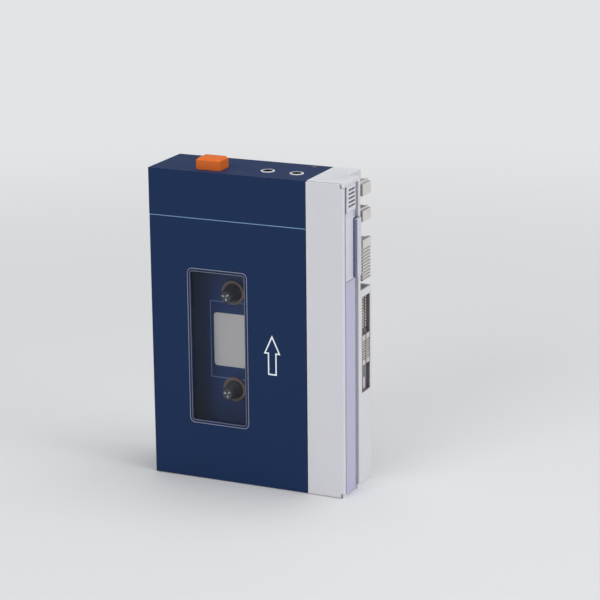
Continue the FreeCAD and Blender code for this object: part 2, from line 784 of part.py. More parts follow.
def reel(name, z):
    """Spindle with three fins and its shaft, and the flange and wheel that turn with it."""
    across = ("dim.hub_x", z)
    flange_back = "(dim.deck_face_y - dim.slide_gap)"
    flange_front = f"({flange_back} - dim.flange_thickness)"
    core = rod("y", "dim.spindle_radius", ("dim.spindle_tip_y", flange_front), across)
    shaft = rod("y", "dim.reel_shaft_radius", (flange_front, WHEEL_BACK), across)
    fins = []
    for index in range(3):
        fin = box(
            ("0", "dim.fin_radius"),
            (f"{flange_front} - dim.fin_length", flange_front),
            ("-dim.fin_width / 2", "dim.fin_width / 2"),
        )
        fins.append(turned(fin, index * 120 + 90, across))
    subpart(f"{name}_spindle", fuse(core, shaft, *fins))
    flange = rod("y", "dim.flange_radius", (flange_front, flange_back), across)
    hole = rod("y", "dim.reel_shaft_radius", (flange_front, flange_back), across)
    wheel = rod("y", "dim.reel_wheel_radius", (WHEEL_FRONT, WHEEL_BACK), across)
    bore = rod("y", "dim.reel_shaft_radius", (WHEEL_FRONT, WHEEL_BACK), across)
    subpart(f"{name}_table", group(cut(flange, hole), cut(wheel, bore)))


def turned(thing, angle, across):
    """The object in a one-piece group, turned about Y and moved to X, Z."""
    holder = group(thing, name="turned")
    holder.Placement = FreeCAD.Placement(FreeCAD.Vector(), FreeCAD.Rotation(FreeCAD.Vector(0, 1, 0), angle))
    place(holder, across[0], "0", across[1])
    return holder


def reel_bushes():
    """Brass bushes in the deck that the two reel shafts turn in."""
    bushes = []
    for z in (UPPER_HUB_Z, LOWER_HUB_Z):
        across = ("dim.hub_x", z)
        ends = ("dim.deck_face_y", DECK_BACK)
        outer = rod("y", "dim.bush_radius", ends, across)
        bushes.append(cut(outer, rod("y", "dim.reel_shaft_radius + dim.shaft_gap", ends, across)))
    subpart("reel_bushes", group(*bushes))


# ---------------------------------------------------------------- drive

CAPSTAN = ("dim.capstan_x", "dim.capstan_z")
MOTOR = ("dim.motor_x", "dim.motor_z")


def idler_centre():
    """Radius of the idler and its centre, on the line from the capstan to the upper reel."""
    run = f"sqrt((dim.capstan_x - dim.hub_x) ^ 2 + (dim.capstan_z - {UPPER_HUB_Z}) ^ 2)"
    free = f"({run} - dim.drive_boss_radius - dim.reel_wheel_radius - 2 * dim.tyre_gap)"
    radius = f"({free} / 2)"
    share = f"((dim.drive_boss_radius + dim.tyre_gap + {radius}) / {run})"
    x = f"(dim.capstan_x - (dim.capstan_x - dim.hub_x) * {share})"
    z = f"(dim.capstan_z - (dim.capstan_z - {UPPER_HUB_Z}) * {share})"
    return radius, (x, z)


def flywheel():
    """Brass flywheel with a belt groove, its drive boss and the capstan ground on its shaft."""
    ends = ("dim.flywheel_front_y", FLYWHEEL_BACK)
    disc = rod("y", "dim.flywheel_radius", ends, CAPSTAN)
    half = "(dim.belt_width / 2 + dim.belt_gap)"
    groove_ends = (f"{BELT_Y} - {half}", f"{BELT_Y} + {half}")
    rim = rod("y", "dim.flywheel_radius + 1", groove_ends, CAPSTAN)
    floor = rod("y", "dim.flywheel_radius - dim.belt_depth", groove_ends, CAPSTAN)
    boss = rod("y", "dim.drive_boss_radius", (WHEEL_FRONT, ends[0]), CAPSTAN)
    bore = rod("y", "dim.capstan_radius", (WHEEL_FRONT, ends[1]), CAPSTAN)
    subpart("flywheel", cut(fuse(cut(disc, cut(rim, floor)), boss), bore))
    shaft_ends = ("dim.capstan_tip_y", f"{ends[1]} + 0.3")
    subpart("capstan_shaft", rod("y", "dim.capstan_radius", shaft_ends, CAPSTAN))
    bearing_ends = ("dim.deck_face_y - 1.2", DECK_BACK)
    outer = rod("y", "dim.bearing_radius", bearing_ends, CAPSTAN)
    hole = rod("y", "dim.capstan_radius + dim.shaft_gap", bearing_ends, CAPSTAN)
    subpart("capstan_bearing", cut(outer, hole))


def flywheel_bridge():
    """Bracket behind the flywheel on two posts from the deck, with the capstan's thrust pad."""
    front = f"({FLYWHEEL_BACK} + 0.6)"
    back = f"({front} + dim.bridge_thickness)"
    reach = "(dim.flywheel_radius + dim.bridge_post_radius + 1.2)"
    across = ("dim.capstan_x - dim.bridge_width / 2", "dim.capstan_x + dim.bridge_width / 2")
    up = (f"dim.capstan_z - {reach} - 1.5", f"dim.capstan_z + {reach} + 1.5")
    strap = box(across, (front, back), up)
    feet = [("dim.capstan_x", f"dim.capstan_z {sign} {reach}") for sign in "+-"]
    posts = [rod("y", "dim.bridge_post_radius", (DECK_BACK, front), foot) for foot in feet]
    subpart("flywheel_bridge", fuse(strap, *posts))


def motor():
    """Flat motor on the deck and the brass pulley on its shaft."""
    back = f"({DECK_BACK} + dim.motor_length)"
    subpart("motor", rod("y", "dim.motor_radius", (DECK_BACK, back), MOTOR))
    ends = (f"{back} + 0.3", f"{BELT_Y} + dim.belt_width / 2 + 0.7")
    barrel = rod("y", "dim.pulley_radius", ends, MOTOR)
    subpart("motor_pulley", barrel)


def drive_belt():
    """Rubber belt round the motor pulley and the flywheel, with straight runs between them."""
    gap = value("dim.belt_gap")
    thick = value("dim.belt_depth") - gap
    big = value("dim.flywheel_radius - dim.belt_depth") + gap
    small = value("dim.pulley_radius") + gap
    start = FreeCAD.Vector(value(MOTOR[0]), 0, value(MOTOR[1]))
    end = FreeCAD.Vector(value(CAPSTAN[0]), 0, value(CAPSTAN[1]))
    loops = [loop(start, small + extra, end, big + extra) for extra in (0, thick)]
    faces = [Part.Face(wire) for wire in loops]
    width = value("dim.belt_width")
    belt = doc.addObject("Part::Feature", "belt")
    belt.Shape = faces[1].cut(faces[0]).extrude(FreeCAD.Vector(0, width, 0))
    place(belt, "0", f"{BELT_Y} - dim.belt_width / 2", "0")
    subpart("drive_belt", belt)


def loop(start, small, end, big):
    """A closed wire in the XZ plane, tight round two circles."""
    along = end - start
    tilt = math.acos((small - big) / along.Length)
    heading = math.atan2(along.z, along.x)

    def point(centre, radius, angle):
        return centre + FreeCAD.Vector(radius * math.cos(angle), 0, radius * math.sin(angle))

    upper, lower = heading + tilt, heading - tilt
    points = [point(start, small, upper), point(start, small, heading + math.pi), point(start, small, lower)]
    points += [point(end, big, lower), point(end, big, heading), point(end, big, upper)]
    parts = [
        Part.Arc(points[0], points[1], points[2]).toShape(),
        Part.LineSegment(points[2], points[3]).toShape(),
        Part.Arc(points[3], points[4], points[5]).toShape(),
        Part.LineSegment(points[5], points[0]).toShape(),
    ]
    return Part.Wire(parts)


def idler():
    """Rubber-tyred wheel between the drive boss and the upper reel wheel."""
    radius, across = idler_centre()
    wheel = rod("y", radius, (WHEEL_FRONT, WHEEL_BACK), across)
    bore = rod("y", "dim.arm_post_radius + dim.shaft_gap", (WHEEL_FRONT, WHEEL_BACK), across)
    subpart("idler_wheel", cut(wheel, bore))


def posts():
    """The posts on the deck that the idler turns on and the pinch arm swings on."""
    pivot = ("dim.arm_pivot_x", "dim.arm_pivot_z")
    idler_post = rod("y", "dim.arm_post_radius", (DECK_BACK, f"{WHEEL_BACK} + 0.4"), idler_centre()[1])
    arm_post = rod("y", "dim.arm_post_radius", (DECK_BACK, f"{PLATE_BACK} + 0.2"), pivot)
    subpart("mechanism_posts", group(idler_post, arm_post))


# ---------------------------------------------------------------- head and pinch roller

HEAD_FACE = "(dim.cassette_right + dim.head_gap)"
HEAD_BACK = f"({HEAD_FACE} + dim.head_depth)"
HEAD_LOW = "(dim.hub_middle_z - dim.head_height / 2)"
HEAD_HIGH = "(dim.hub_middle_z + dim.head_height / 2)"
PUSH_X = f"({DIVIDER_INNER} + 1.4)"
PUSH_BACK = "(dim.key_front + 3.7)"
PUSH_LOW = "(dim.head_plate_high - dim.push_arm_height)"
HEAD_UP = (HEAD_LOW, HEAD_HIGH)
SLOT_HALF = "(dim.guide_pin_radius + dim.slide_gap)"


def head_base():
    """Sliding plate behind the deck, with an upright for the head and an arm that the play key pushes."""
    ends = (MOVING_BACK, PLATE_BACK)
    right = f"({HEAD_BACK} + 1)"
    plate = box(("dim.head_plate_left", right), ends, ("dim.head_plate_low", "dim.head_plate_high"))
    upright = box((HEAD_BACK, right), ("dim.tape_y - dim.head_half_width", PLATE_BACK), HEAD_UP)
    arm_up = (PUSH_LOW, "dim.head_plate_high")
    arm = box((right, f"{PUSH_X} + dim.head_plate_thickness"), ends, arm_up)
    pushed = box((PUSH_X, f"{PUSH_X} + dim.head_plate_thickness"), (MOVING_BACK, PUSH_BACK), arm_up)
    across = (f"{GUIDE_X} - {SLOT_HALF}", f"{GUIDE_X} + {SLOT_HALF} + dim.play_travel")
    slots = [box(across, ends, (f"{z} - {SLOT_HALF}", f"{z} + {SLOT_HALF}")) for z in guide_heights()]
    subpart("head_base", cut(fuse(plate, upright, arm, pushed), *slots))


GUIDE_X = "(dim.head_plate_left + 4)"


def guide_heights():
    """Z of the two pins that guide the head's plate."""
    return ["(dim.head_plate_low + 4)", "(dim.head_plate_high - 4)"]


def head_guides():
    """Headed pins from the deck through the slots of the head's plate."""
    pins = []
    for z in guide_heights():
        seat = f"{PLATE_BACK} + dim.slide_gap"
        pin = rod("y", "dim.guide_pin_radius", (DECK_BACK, seat), (GUIDE_X, z))
        head = rod("y", "dim.guide_head_radius", (seat, f"{PLATE_BACK} + 0.8"), (GUIDE_X, z))
        pins.append(fuse(pin, head))
    subpart("head_guide_pins", group(*pins))


def tape_head():
    """Playing head with rounded front edges, on the upright of its plate."""
    body = doc.addObject("PartDesign::Body", "head")
    outline = rectangle((HEAD_FACE, HEAD_BACK), HEAD_UP)
    ends = ("dim.tape_y - dim.head_half_width", "dim.tape_y + dim.head_half_width")
    pad(body, "XZ_Plane", outline, ends)
    dress(body, "Fillet", "2", lambda b: b.YLength > 1 and at(b.XMin, HEAD_FACE) and at(b.XMax, HEAD_FACE))
    subpart("tape_head", body)


def pinch_roller():
    """Rubber roller and the arm that carries it on a fixed pin."""
    pivot = ("dim.arm_pivot_x", "dim.arm_pivot_z")
    axle = ("dim.roller_rest_x", "dim.capstan_z")
    ends = (MOVING_BACK, PLATE_BACK)
    eye = rod("y", "dim.arm_width / 2", ends, pivot)
    foot = rod("y", "dim.arm_width / 2", ends, axle)
    bar = doc.addObject("PartDesign::Body", "bar")
    half = "dim.arm_width / 2"
    outline = [
        (f"dim.roller_rest_x - {half}", "dim.capstan_z"),
        (f"dim.roller_rest_x + {half}", "dim.capstan_z"),
        (f"dim.arm_pivot_x + {half}", "dim.arm_pivot_z"),
        (f"dim.arm_pivot_x - {half}", "dim.arm_pivot_z"),
    ]
    pad(bar, "XZ_Plane", outline, ends)
    axle_front = "(dim.tape_y - dim.roller_half_width - 0.6)"
    pin = rod("y", "dim.arm_pin_radius", (axle_front, MOVING_BACK), axle)
    bore = rod("y", "dim.arm_post_radius + dim.shaft_gap", ends, pivot)
    subpart("pinch_arm", cut(fuse(eye, foot, bar, pin), bore))
    roller_ends = ("dim.tape_y - dim.roller_half_width", "dim.tape_y + dim.roller_half_width")
    tyre = rod("y", "dim.roller_radius", roller_ends, axle)
    hole = rod("y", "dim.arm_pin_radius + dim.shaft_gap", roller_ends, axle)
    subpart("pinch_roller", cut(tyre, hole))


# ---------------------------------------------------------------- top controls

def hotline_button():
    """Chamfered cap that slides in the top, with a collar under it that stops it."""
    body = doc.addObject("PartDesign::Body", "cap")
    across = ("dim.button_left", "dim.button_left + dim.button_width")
    deep = ("dim.button_front", "dim.button_front + dim.button_depth")
    collar_low = f"({INNER_TOP} - dim.slide_gap - dim.button_collar)"
    high = f"{TOP} + dim.button_height"
    pad(body, "XY_Plane", rectangle(across, deep), (collar_low, high))
    dress(body, "Chamfer", "dim.button_chamfer", lambda b: at(b.ZMin, high) and at(b.ZMax, high))
    collar = box(
        (f"{across[0]} - dim.button_collar_reach", f"{across[1]} + dim.button_collar_reach"),
        (f"{deep[0]} - dim.button_collar_reach", f"{deep[1]} + 0.2"),
        (collar_low, f"{collar_low} + dim.button_collar"),
    )
    subpart("hotline_button", fuse(body, collar))
    middle = ("dim.button_left + dim.button_width / 2", "dim.button_front + dim.button_depth / 2")
    ends = (f"({SHELF_HIGH} + dim.switch_height)", collar_low)
    outer = rod("z", "dim.button_spring_radius", ends, middle)
    inner = rod("z", "dim.button_spring_radius - dim.spring_wire", ends, middle)
    subpart("hotline_spring", cut(outer, inner))
    switch = box(
        (f"{middle[0]} - dim.switch_width / 2", f"{middle[0]} + dim.switch_width / 2"),
        (f"{middle[1]} - dim.switch_depth / 2", f"{middle[1]} + dim.switch_depth / 2"),
        (SHELF_HIGH, ends[0]),
    )
    subpart("hotline_switch", switch)


def jack(name, x):
    """Headphone socket: a block under the top and a collar through it, bored for the plug."""
    across = (x, "dim.jack_y")
    rise = f"({TOP} + dim.jack_ring_rise)"
    low = f"({rise} - dim.jack_bore_length)"
    half = "dim.jack_block / 2"
    block = box(
        (f"{x} - {half}", f"{x} + {half}"),
        (f"dim.jack_y - {half}", f"dim.jack_y + {half}"),
        (SHELF_HIGH, INNER_TOP),
    )
    collar = rod("z", "dim.jack_bore_radius + dim.jack_collar_wall", (INNER_TOP, rise), across)
    subpart(name, cut(fuse(block, collar), rod("z", "dim.jack_bore_radius", (low, rise), across)))


def top_trim():
    """White rings round the two sockets and the clear lamp lens."""
    rings = []
    for x in ("dim.jack_left_x", "dim.jack_right_x"):
        ends = (INNER_TOP, f"{TOP} + dim.jack_ring_rise")
        outer = rod("z", "dim.jack_ring_radius", ends, (x, "dim.jack_y"))
        rings.append(
            cut(outer, rod("z", "dim.jack_bore_radius + dim.jack_collar_wall", ends, (x, "dim.jack_y")))
        )
    subpart("jack_rings", group(*rings))
    lamp_ends = (f"{INNER_TOP} - dim.lamp_length", f"{TOP} + dim.lamp_rise")
    subpart("lamp_lens", rod("z", "dim.lamp_radius", lamp_ends, ("dim.lamp_x", "dim.lamp_y")))


# ---------------------------------------------------------------- control column

KEYS = {
    "rewind_key": ("dim.rewind_low", "dim.rewind_high"),
    "forward_key": ("dim.forward_low", "dim.forward_high"),
    "play_key": ("dim.play_low", "dim.play_high"),
}
KEY_Y = ("dim.key_front", "dim.key_back")
STEM_Y = ("dim.key_front", "dim.key_stem_back")
CAP_INNER = f"({WELL_FLOOR} + dim.key_travel + dim.slide_gap)"
SLIDERS = {"volume_slider_front": "dim.slider_front_y", "volume_slider_back": "dim.slider_back_y"}
SLIDER_MIDDLE = "((dim.slider_low + dim.slider_high) / 2)"
SLIDER_INNER = f"({TRAY_FLOOR} + dim.scale_thickness + dim.slide_gap)"
SLIDER_STEM_UP = (
    f"({SLIDER_MIDDLE} - dim.slider_stem_height / 2)",
    f"({SLIDER_MIDDLE} + dim.slider_stem_height / 2)",
)
SLOT_UP = (
    f"({SLIDER_STEM_UP[0]} - dim.slider_down - dim.slide_gap)",
    f"({SLIDER_STEM_UP[1]} + dim.slider_up + dim.slide_gap)",
)


def slider_slots(ends):
    """The two long slots that the slider stems run in."""
    half = "(dim.slider_stem / 2 + dim.slide_gap)"
    return [box(ends, (f"{y} - {half}", f"{y} + {half}"), SLOT_UP) for y in SLIDERS.values()]


def housing_walls():
    """The blocks that make up the column's moulding."""
    floor_inner = f"{GROOVE_FLOOR} - dim.skin_wall"
    well_inner = f"{WELL_FLOOR} - dim.skin_wall"
    well_side = "dim.well_front - dim.skin_wall"
    well_shelf = "dim.well_low - dim.skin_wall"
    groove_y = ("dim.groove_front - 0.9", "dim.groove_back + 0.9")
    tray_y = ("dim.tray_front - dim.skin_wall", INNER_BACK)
    tray_up = ("dim.tray_low - dim.skin_wall", "dim.tray_high + dim.skin_wall")
    cell_deep = ("dim.cell_y - dim.cell_radius", "dim.cell_y + dim.cell_radius")
    stop_low = f"{CELLS_TOP} + dim.contact_thickness"
    return [
        box((SPLIT, DIVIDER_INNER), (BEHIND_LID, BACK), ("0", TOP), "divider"),
        box((SPLIT, RIGHT), (BEHIND_LID, BACK), ("0", "dim.shell_wall"), "lower_end"),
        box((SPLIT, RIGHT), (BEHIND_LID, BACK), (INNER_TOP, TOP), "upper_end"),
        box((SPLIT, RIGHT), (INNER_BACK, BACK), ("0", TOP), "back_wall"),
        box((floor_inner, GROOVE_FLOOR), groove_y, ("0", TOP), "groove_floor"),
        box((SIDE_INNER, RIGHT), ("dim.groove_back", "dim.well_front"), ("0", TOP), "rib"),
        box((SIDE_INNER, RIGHT), ("dim.well_front", BACK), ("0", "dim.well_low"), "lower_side"),
        box((well_inner, RIGHT), (well_side, BACK), (well_shelf, "dim.well_low"), "well_shelf"),
        box((well_inner, RIGHT), (well_side, "dim.well_front"), (well_shelf, TOP), "well_side"),
        box((well_inner, WELL_FLOOR), (well_side, BACK), (well_shelf, TOP), "well_floor"),
        box((f"{TRAY_FLOOR} - dim.skin_wall", SIDE_INNER), tray_y, tray_up, "tray_floor"),
        box((DIVIDER_INNER, STRIP_BACK), cell_deep, (stop_low, f"{stop_low} + 1"), "cell_stop"),
    ]


def housing_holes():
    """The recesses and openings of the column's moulding."""
    gap = "dim.slide_gap"
    floor_inner = f"{GROOVE_FLOOR} - dim.skin_wall"
    well_wall = (f"{WELL_FLOOR} - dim.skin_wall", WELL_FLOOR)
    divider = (SPLIT, DIVIDER_INNER)
    swing = "(dim.roller_radius + 1.2)"
    bar_deep = (f"dim.bar_front - {gap}", f"dim.bar_back + {gap}")
    bar_up = (f"dim.bar_low - {gap}", f"dim.bar_high + {gap}")
    roller_deep = ("dim.tape_y - dim.roller_half_width - 1.2", f"{PLATE_BACK} + {gap}")
    roller_up = (f"dim.capstan_z - {swing}", f"dim.capstan_z + {swing}")
    push_up = (f"{PUSH_LOW} - 0.4", "dim.head_plate_high + 0.4")
    stem_deep = (f"{STEM_Y[0]} - {gap}", f"{STEM_Y[1]} + {gap}")
    holes = [
        box((WELL_FLOOR, f"{RIGHT} + 1"), ("dim.well_front", f"{BACK} + 1"), ("dim.well_low", f"{TOP} + 1")),
        box((TRAY_FLOOR, RIGHT), ("dim.tray_front", "dim.tray_back"), ("dim.tray_low", "dim.tray_high")),
        box((f"{floor_inner} - 1", f"{RIGHT} + 1"), bar_deep, bar_up, "bar_slot"),
        box(divider, roller_deep, roller_up, "roller_room"),
        box(divider, (DECK_BACK, f"{PUSH_BACK} + 0.4"), push_up, "push_arm_room"),
    ]
    holes += slider_slots((f"{TRAY_FLOOR} - dim.skin_wall", TRAY_FLOOR))
    holes += [box(well_wall, stem_deep, (f"{low} - {gap}", f"{high} + {gap}")) for low, high in KEYS.values()]
    holes += [box((SPLIT, DIVIDER_INNER), TONGUE_Y, up) for up in tongues()]
    for screw in tongue_screws():
        holes.append(rod("y", "dim.screw_radius", (INNER_BACK, BACK), screw))
        holes.append(rod("y", "dim.screw_head_radius", (f"{BACK} - dim.screw_head_height", BACK), screw))
    return holes


def cover_pin_ends():
    """Z of both ends of each pin that the battery cover turns on."""
    length = "(dim.knuckle_height - dim.cover_pin_inset + dim.cover_pin_reach)"
    low = ("dim.cover_pin_inset", f"dim.cover_pin_inset + {length}")
    high = (f"{TOP} - dim.cover_pin_inset - {length}", f"{TOP} - dim.cover_pin_inset")
    return [low, high]


def knuckle(low, high):
    """One end of the battery cover's hinge, on a rib of the column."""
    round_front = rod("z", "dim.lid_thickness / 2", (low, high), COVER_AXIS)
    behind = box((f"{RIGHT} - dim.lid_thickness", RIGHT), (COVER_AXIS_Y, BEHIND_LID), (low, high))
    return fuse(round_front, behind)


def control_housing():
    """White column moulding: open front for the cells, key well behind, slider tray below it."""
    knuckles = [knuckle("0", "dim.knuckle_height"), knuckle(f"{TOP} - dim.knuckle_height", TOP)]
    pins = [rod("z", "dim.cover_pin_radius", ends, COVER_AXIS) for ends in cover_pin_ends()]
    strip_end = box((STRIP_BACK, RIGHT), STRIP_END_Y, ("0", "dim.shell_wall"))
    subpart("control_housing", cut(fuse(*housing_walls(), *knuckles), *housing_holes(), *pins, strip_end))


def battery_cover():
    """Full-height front of the column, hinged at its rounded right edge."""
    low, high = "dim.seam_gap", f"{TOP} - dim.seam_gap"
    left = f"({SPLIT} + dim.seam_gap / 2)"
    plate = box((left, COVER_AXIS_X), (FRONT, LID_BACK), (low, high))
    barrel = rod("z", "dim.lid_thickness / 2", (low, high), COVER_AXIS)
    catch_x = f"({DIVIDER_INNER} + 0.55)"
    catch = box(
        (catch_x, f"{catch_x} + dim.cover_catch_wall"),
        (LID_BACK, f"{LID_BACK} + dim.cover_catch_length"),
        ("dim.cover_catch_low", "dim.cover_catch_low + dim.cover_catch_height"),
    )
    notch_x = (f"{RIGHT} - dim.lid_thickness - dim.knuckle_room", RIGHT)
    notches = [
        box(notch_x, (FRONT, LID_BACK), ("0", "dim.knuckle_height + dim.seam_gap")),
        box(notch_x, (FRONT, LID_BACK), (f"{TOP} - dim.knuckle_height - dim.seam_gap", TOP)),
    ]
    bore = rod("z", "dim.cover_pin_radius + dim.shaft_gap", (low, high), COVER_AXIS)
    subpart("battery_cover", cut(fuse(plate, barrel, catch), bore, *notches))


GRILLE_MIDDLE = (
    "(dim.grille_front + dim.grille_back) / 2",
    "(dim.grille_low + dim.grille_high) / 2",
)


def side_strip():
    """Lavender inset along the side, cut away for the bar."""
    deep = (STRIP_BACK, STRIP_FACE)
    sound_hole = rod("x", "dim.sound_hole_radius", deep, GRILLE_MIDDLE)
    face = box(deep, (BEHIND_LID, STRIP_END_Y[1]), ("dim.shell_wall", INNER_TOP))
    foot = box(deep, STRIP_END_Y, ("0", "dim.shell_wall"))
    bar_room = box(
        (STRIP_BACK, STRIP_FACE),
        ("dim.bar_front - dim.slide_gap", "dim.bar_back"),
        ("dim.bar_low - dim.slide_gap", "dim.bar_high + dim.slide_gap"),
    )
    subpart("side_strip", cut(fuse(face, foot), bar_room, sound_hole))


def microphone():
    """Slotted grille on the strip and the round capsule behind it."""
    body = doc.addObject("PartDesign::Body", "grille")
    across = ("dim.grille_front", "dim.grille_back")
    outline = rectangle(across, ("dim.grille_low", "dim.grille_high"))
    ends = (STRIP_FACE, f"{STRIP_FACE} + dim.grille_thickness")
    pad(body, "YZ_Plane", outline, ends)
    slots = []
    for index in range(int(value("dim.grille_slot_count"))):
        low = f"dim.grille_low + dim.grille_slot_start + {index} * dim.grille_slot_pitch"
        up = (low, f"{low} + dim.grille_slot_height")
        slots.append(box(ends, (f"{across[0]} + 2", f"{across[1]} - 0.6"), up))
    subpart("mic_grille", cut(body, *slots))
    depth = (f"{STRIP_BACK} - dim.capsule_depth", STRIP_BACK)
    subpart("mic_capsule", rod("x", "dim.capsule_radius", depth, GRILLE_MIDDLE))


def key(name, low, high):
    """A key cap in the well with its stem through the floor, and the coil spring behind it."""
    cap = box((CAP_INNER, RIGHT), KEY_Y, (low, high))
    stem = box(("dim.key_stem_inner", CAP_INNER), STEM_Y, (low, high))
    if name == "play_key":
        shape = cut(fuse(cap, stem, play_foot()), *play_grooves())
    else:
        relief = box((f"{RIGHT} - dim.key_relief", RIGHT), KEY_Y, (f"{high} - dim.key_relief_height", high))
        shape = cut(fuse(cap, stem), relief)
    subpart(name, shape)
    middle = ("(dim.key_front + dim.key_stem_back) / 2", f"({low} + {high}) / 2")
    ends = (DIVIDER_INNER, "dim.key_stem_inner")
    outer = rod("x", "dim.key_spring_radius", ends, middle)
    inner = rod("x", "dim.key_spring_radius - dim.spring_wire", ends, middle)
    subpart(f"{name}_spring", cut(outer, inner))


def play_foot():
    """The finger under the play key that meets the arm of the head's plate."""
    face = f"({PUSH_X} + dim.head_plate_thickness + dim.slide_gap)"
    deep = ("dim.key_front", PUSH_BACK)
    inner = "dim.key_stem_inner"
    toe = box((face, inner), deep, (PUSH_LOW, "dim.head_plate_high"))
    leg = box((f"{inner} - 2.4", f"{inner} + 1"), deep, ("dim.head_plate_high - 2", "dim.play_low + 2"))
    return fuse(toe, leg)


def play_grooves():
    """Cross grooves that leave ribs on the play key's face, and the slope above them."""
    start = "(dim.play_low + 0.6)"
    pitch = "((dim.play_high - dim.play_slope - dim.play_low - 0.6) / dim.play_rib_count)"
    face = f"({RIGHT} - dim.play_rib_depth)"
    return [
        box((face, RIGHT), KEY_Y, (f"{start} + {index} * {pitch}", f"{start} + ({index} + 0.5) * {pitch}"))
        for index in range(int(value("dim.play_rib_count")))
    ]


def stop_bar():
    """Raised bar in the side, with a thin stem behind it."""
    inner = f"({RIGHT} + dim.bar_rise - dim.bar_thickness)"
    up = ("dim.bar_low", "dim.bar_high")
    cap = box((inner, f"{RIGHT} + dim.bar_rise"), ("dim.bar_front", "dim.bar_back"), up)
    stem_back = "(dim.bar_back - 0.1)"
    stem = box(
        (f"{inner} - dim.bar_stem_length", inner),
        (f"{stem_back} - dim.bar_stem_width", stem_back),
        ("dim.bar_low + dim.bar_stem_inset", "dim.bar_high - dim.bar_stem_inset"),
    )
    subpart("stop_bar", fuse(cap, stem))


def slider(name, y):
    """A ribbed knob in the tray with its thin stem through the floor."""
    deep = (f"{y} - dim.slider_width / 2", f"{y} + dim.slider_width / 2")
    outer = f"({SLIDER_INNER} + dim.slider_rise)"
    knob = box((SLIDER_INNER, outer), deep, ("dim.slider_low", "dim.slider_high"))
    grooves = []
    for index in range(int(value("dim.slider_groove_count"))):
        low = f"dim.slider_low + dim.slider_groove_start + {index} * dim.slider_groove_pitch"
        across = (f"{outer} - dim.slider_groove_depth", outer)
        grooves.append(box(across, deep, (low, f"{low} + dim.slider_groove_height")))
    stem_deep = (f"{y} - dim.slider_stem / 2", f"{y} + dim.slider_stem / 2")
    stem = box((f"{TRAY_FLOOR} - dim.skin_wall - 1.6", SLIDER_INNER), stem_deep, SLIDER_STEM_UP)
    subpart(name, fuse(cut(knob, *grooves), stem))


def volume():
    """Two ribbed sliders in the tray, the slide resistors behind its floor and the scale plate."""
    back = f"({TRAY_FLOOR} - dim.skin_wall)"
    pots = []
    for name, y in SLIDERS.items():
        slider(name, y)
        up = (f"{SLOT_UP[0]} - 3", f"{SLOT_UP[1]} + 3")
        case = box((f"{back} - 4.4", back), (f"{y} - 2", f"{y} + 2"), up)
        channel = box((f"{back} - 2", back), (f"{y} - 0.8", f"{y} + 0.8"), SLOT_UP)
        pots.append(cut(case, channel))
    subpart("volume_resistors", group(*pots))
    across = (TRAY_FLOOR, f"{TRAY_FLOOR} + dim.scale_thickness")
    deep = ("dim.tray_front + 0.2", "dim.tray_back - 0.2")
    plate = box(across, deep, ("dim.scale_low", "dim.tray_high - 0.2"))
    subpart("volume_scale", cut(plate, *slider_slots(across)))


# ---------------------------------------------------------------- batteries

CELL_STEP = "(dim.cell_length + dim.cell_nub_length)"
CELLS_TOP = f"(dim.cell_low + 2 * {CELL_STEP})"


def batteries():
    """Two cells in line, the flat contact above them and the conical spring below."""
    across = ("dim.cell_x", "dim.cell_y")
    cells = []
    for start in ("dim.cell_low", f"(dim.cell_low + {CELL_STEP})"):
        can_top = f"({start} + dim.cell_length)"
        can = rod("z", "dim.cell_radius", (start, can_top), across)
        nub = rod("z", "dim.cell_nub_radius", (can_top, f"{can_top} + dim.cell_nub_length"), across)
        cells.append(fuse(can, nub))
    subpart("battery_cells", group(*cells))
    wide = ("dim.cell_x - dim.contact_reach", "dim.cell_x + dim.contact_reach")
    deep = ("dim.cell_y - dim.contact_reach", "dim.cell_y + dim.contact_reach")
    upper = box(wide, deep, (CELLS_TOP, f"{CELLS_TOP} + dim.contact_thickness"))
    lower = box(wide, deep, ("dim.shell_wall", "dim.shell_wall + dim.contact_thickness"))
    subpart("battery_contacts", group(upper, lower))
    low = "(dim.shell_wall + dim.contact_thickness)"
    outer = doc.addObject("Part::Cone", "coil")
    inner = doc.addObject("Part::Cone", "core")
    for cone, less in ((outer, "0"), (inner, "dim.spring_wire")):
        cone.setExpression("Radius1", f"dim.cell_spring_foot - {less}")
        cone.setExpression("Radius2", f"dim.cell_spring_tip - {less}")
        cone.setExpression("Height", f"dim.cell_low - {low}")
        place(cone, across[0], across[1], low)
    subpart("battery_spring", cut(outer, inner))


# ---------------------------------------------------------------- electronics

BOARD_BACK = f"({INNER_BACK} - dim.board_back_gap)"
BOARD_FRONT = f"({BOARD_BACK} - dim.board_thickness)"


# Places on the board, from its left and lower edges; then the radius, or the width and height.
CAPACITORS = ((5.5, 10, 2.5), (11.5, 10, 2.5), (6.5, 18, 3.2), (47.5, 10, 3.2))
CAPACITOR_HEIGHT = 5
CHIPS = ((15.5, 42, 7, 10), (39.5, 34, 7, 10))
CHIP_HEIGHT = 1.8


def electronics():
    """Main board behind the drive, its capacitors and its two flat chips."""
    up = ("dim.board_low", "dim.board_high")
    subpart("circuit_board", box(("dim.board_left", "dim.board_right"), (BOARD_FRONT, BOARD_BACK), up))
    pieces = []
    for x, z, radius in CAPACITORS:
        ends = (f"{BOARD_FRONT} - {CAPACITOR_HEIGHT}", BOARD_FRONT)
        pieces.append(rod("y", radius, ends, (f"dim.board_left + {x}", f"dim.board_low + {z}")))
    for x, z, wide, tall in CHIPS:
        across = (f"dim.board_left + {x}", f"dim.board_left + {x + wide}")
        up = (f"dim.board_low + {z}", f"dim.board_low + {z + tall}")
        pieces.append(box(across, (f"{BOARD_FRONT} - {CHIP_HEIGHT}", BOARD_FRONT), up))
    subpart("board_components", group(*pieces))


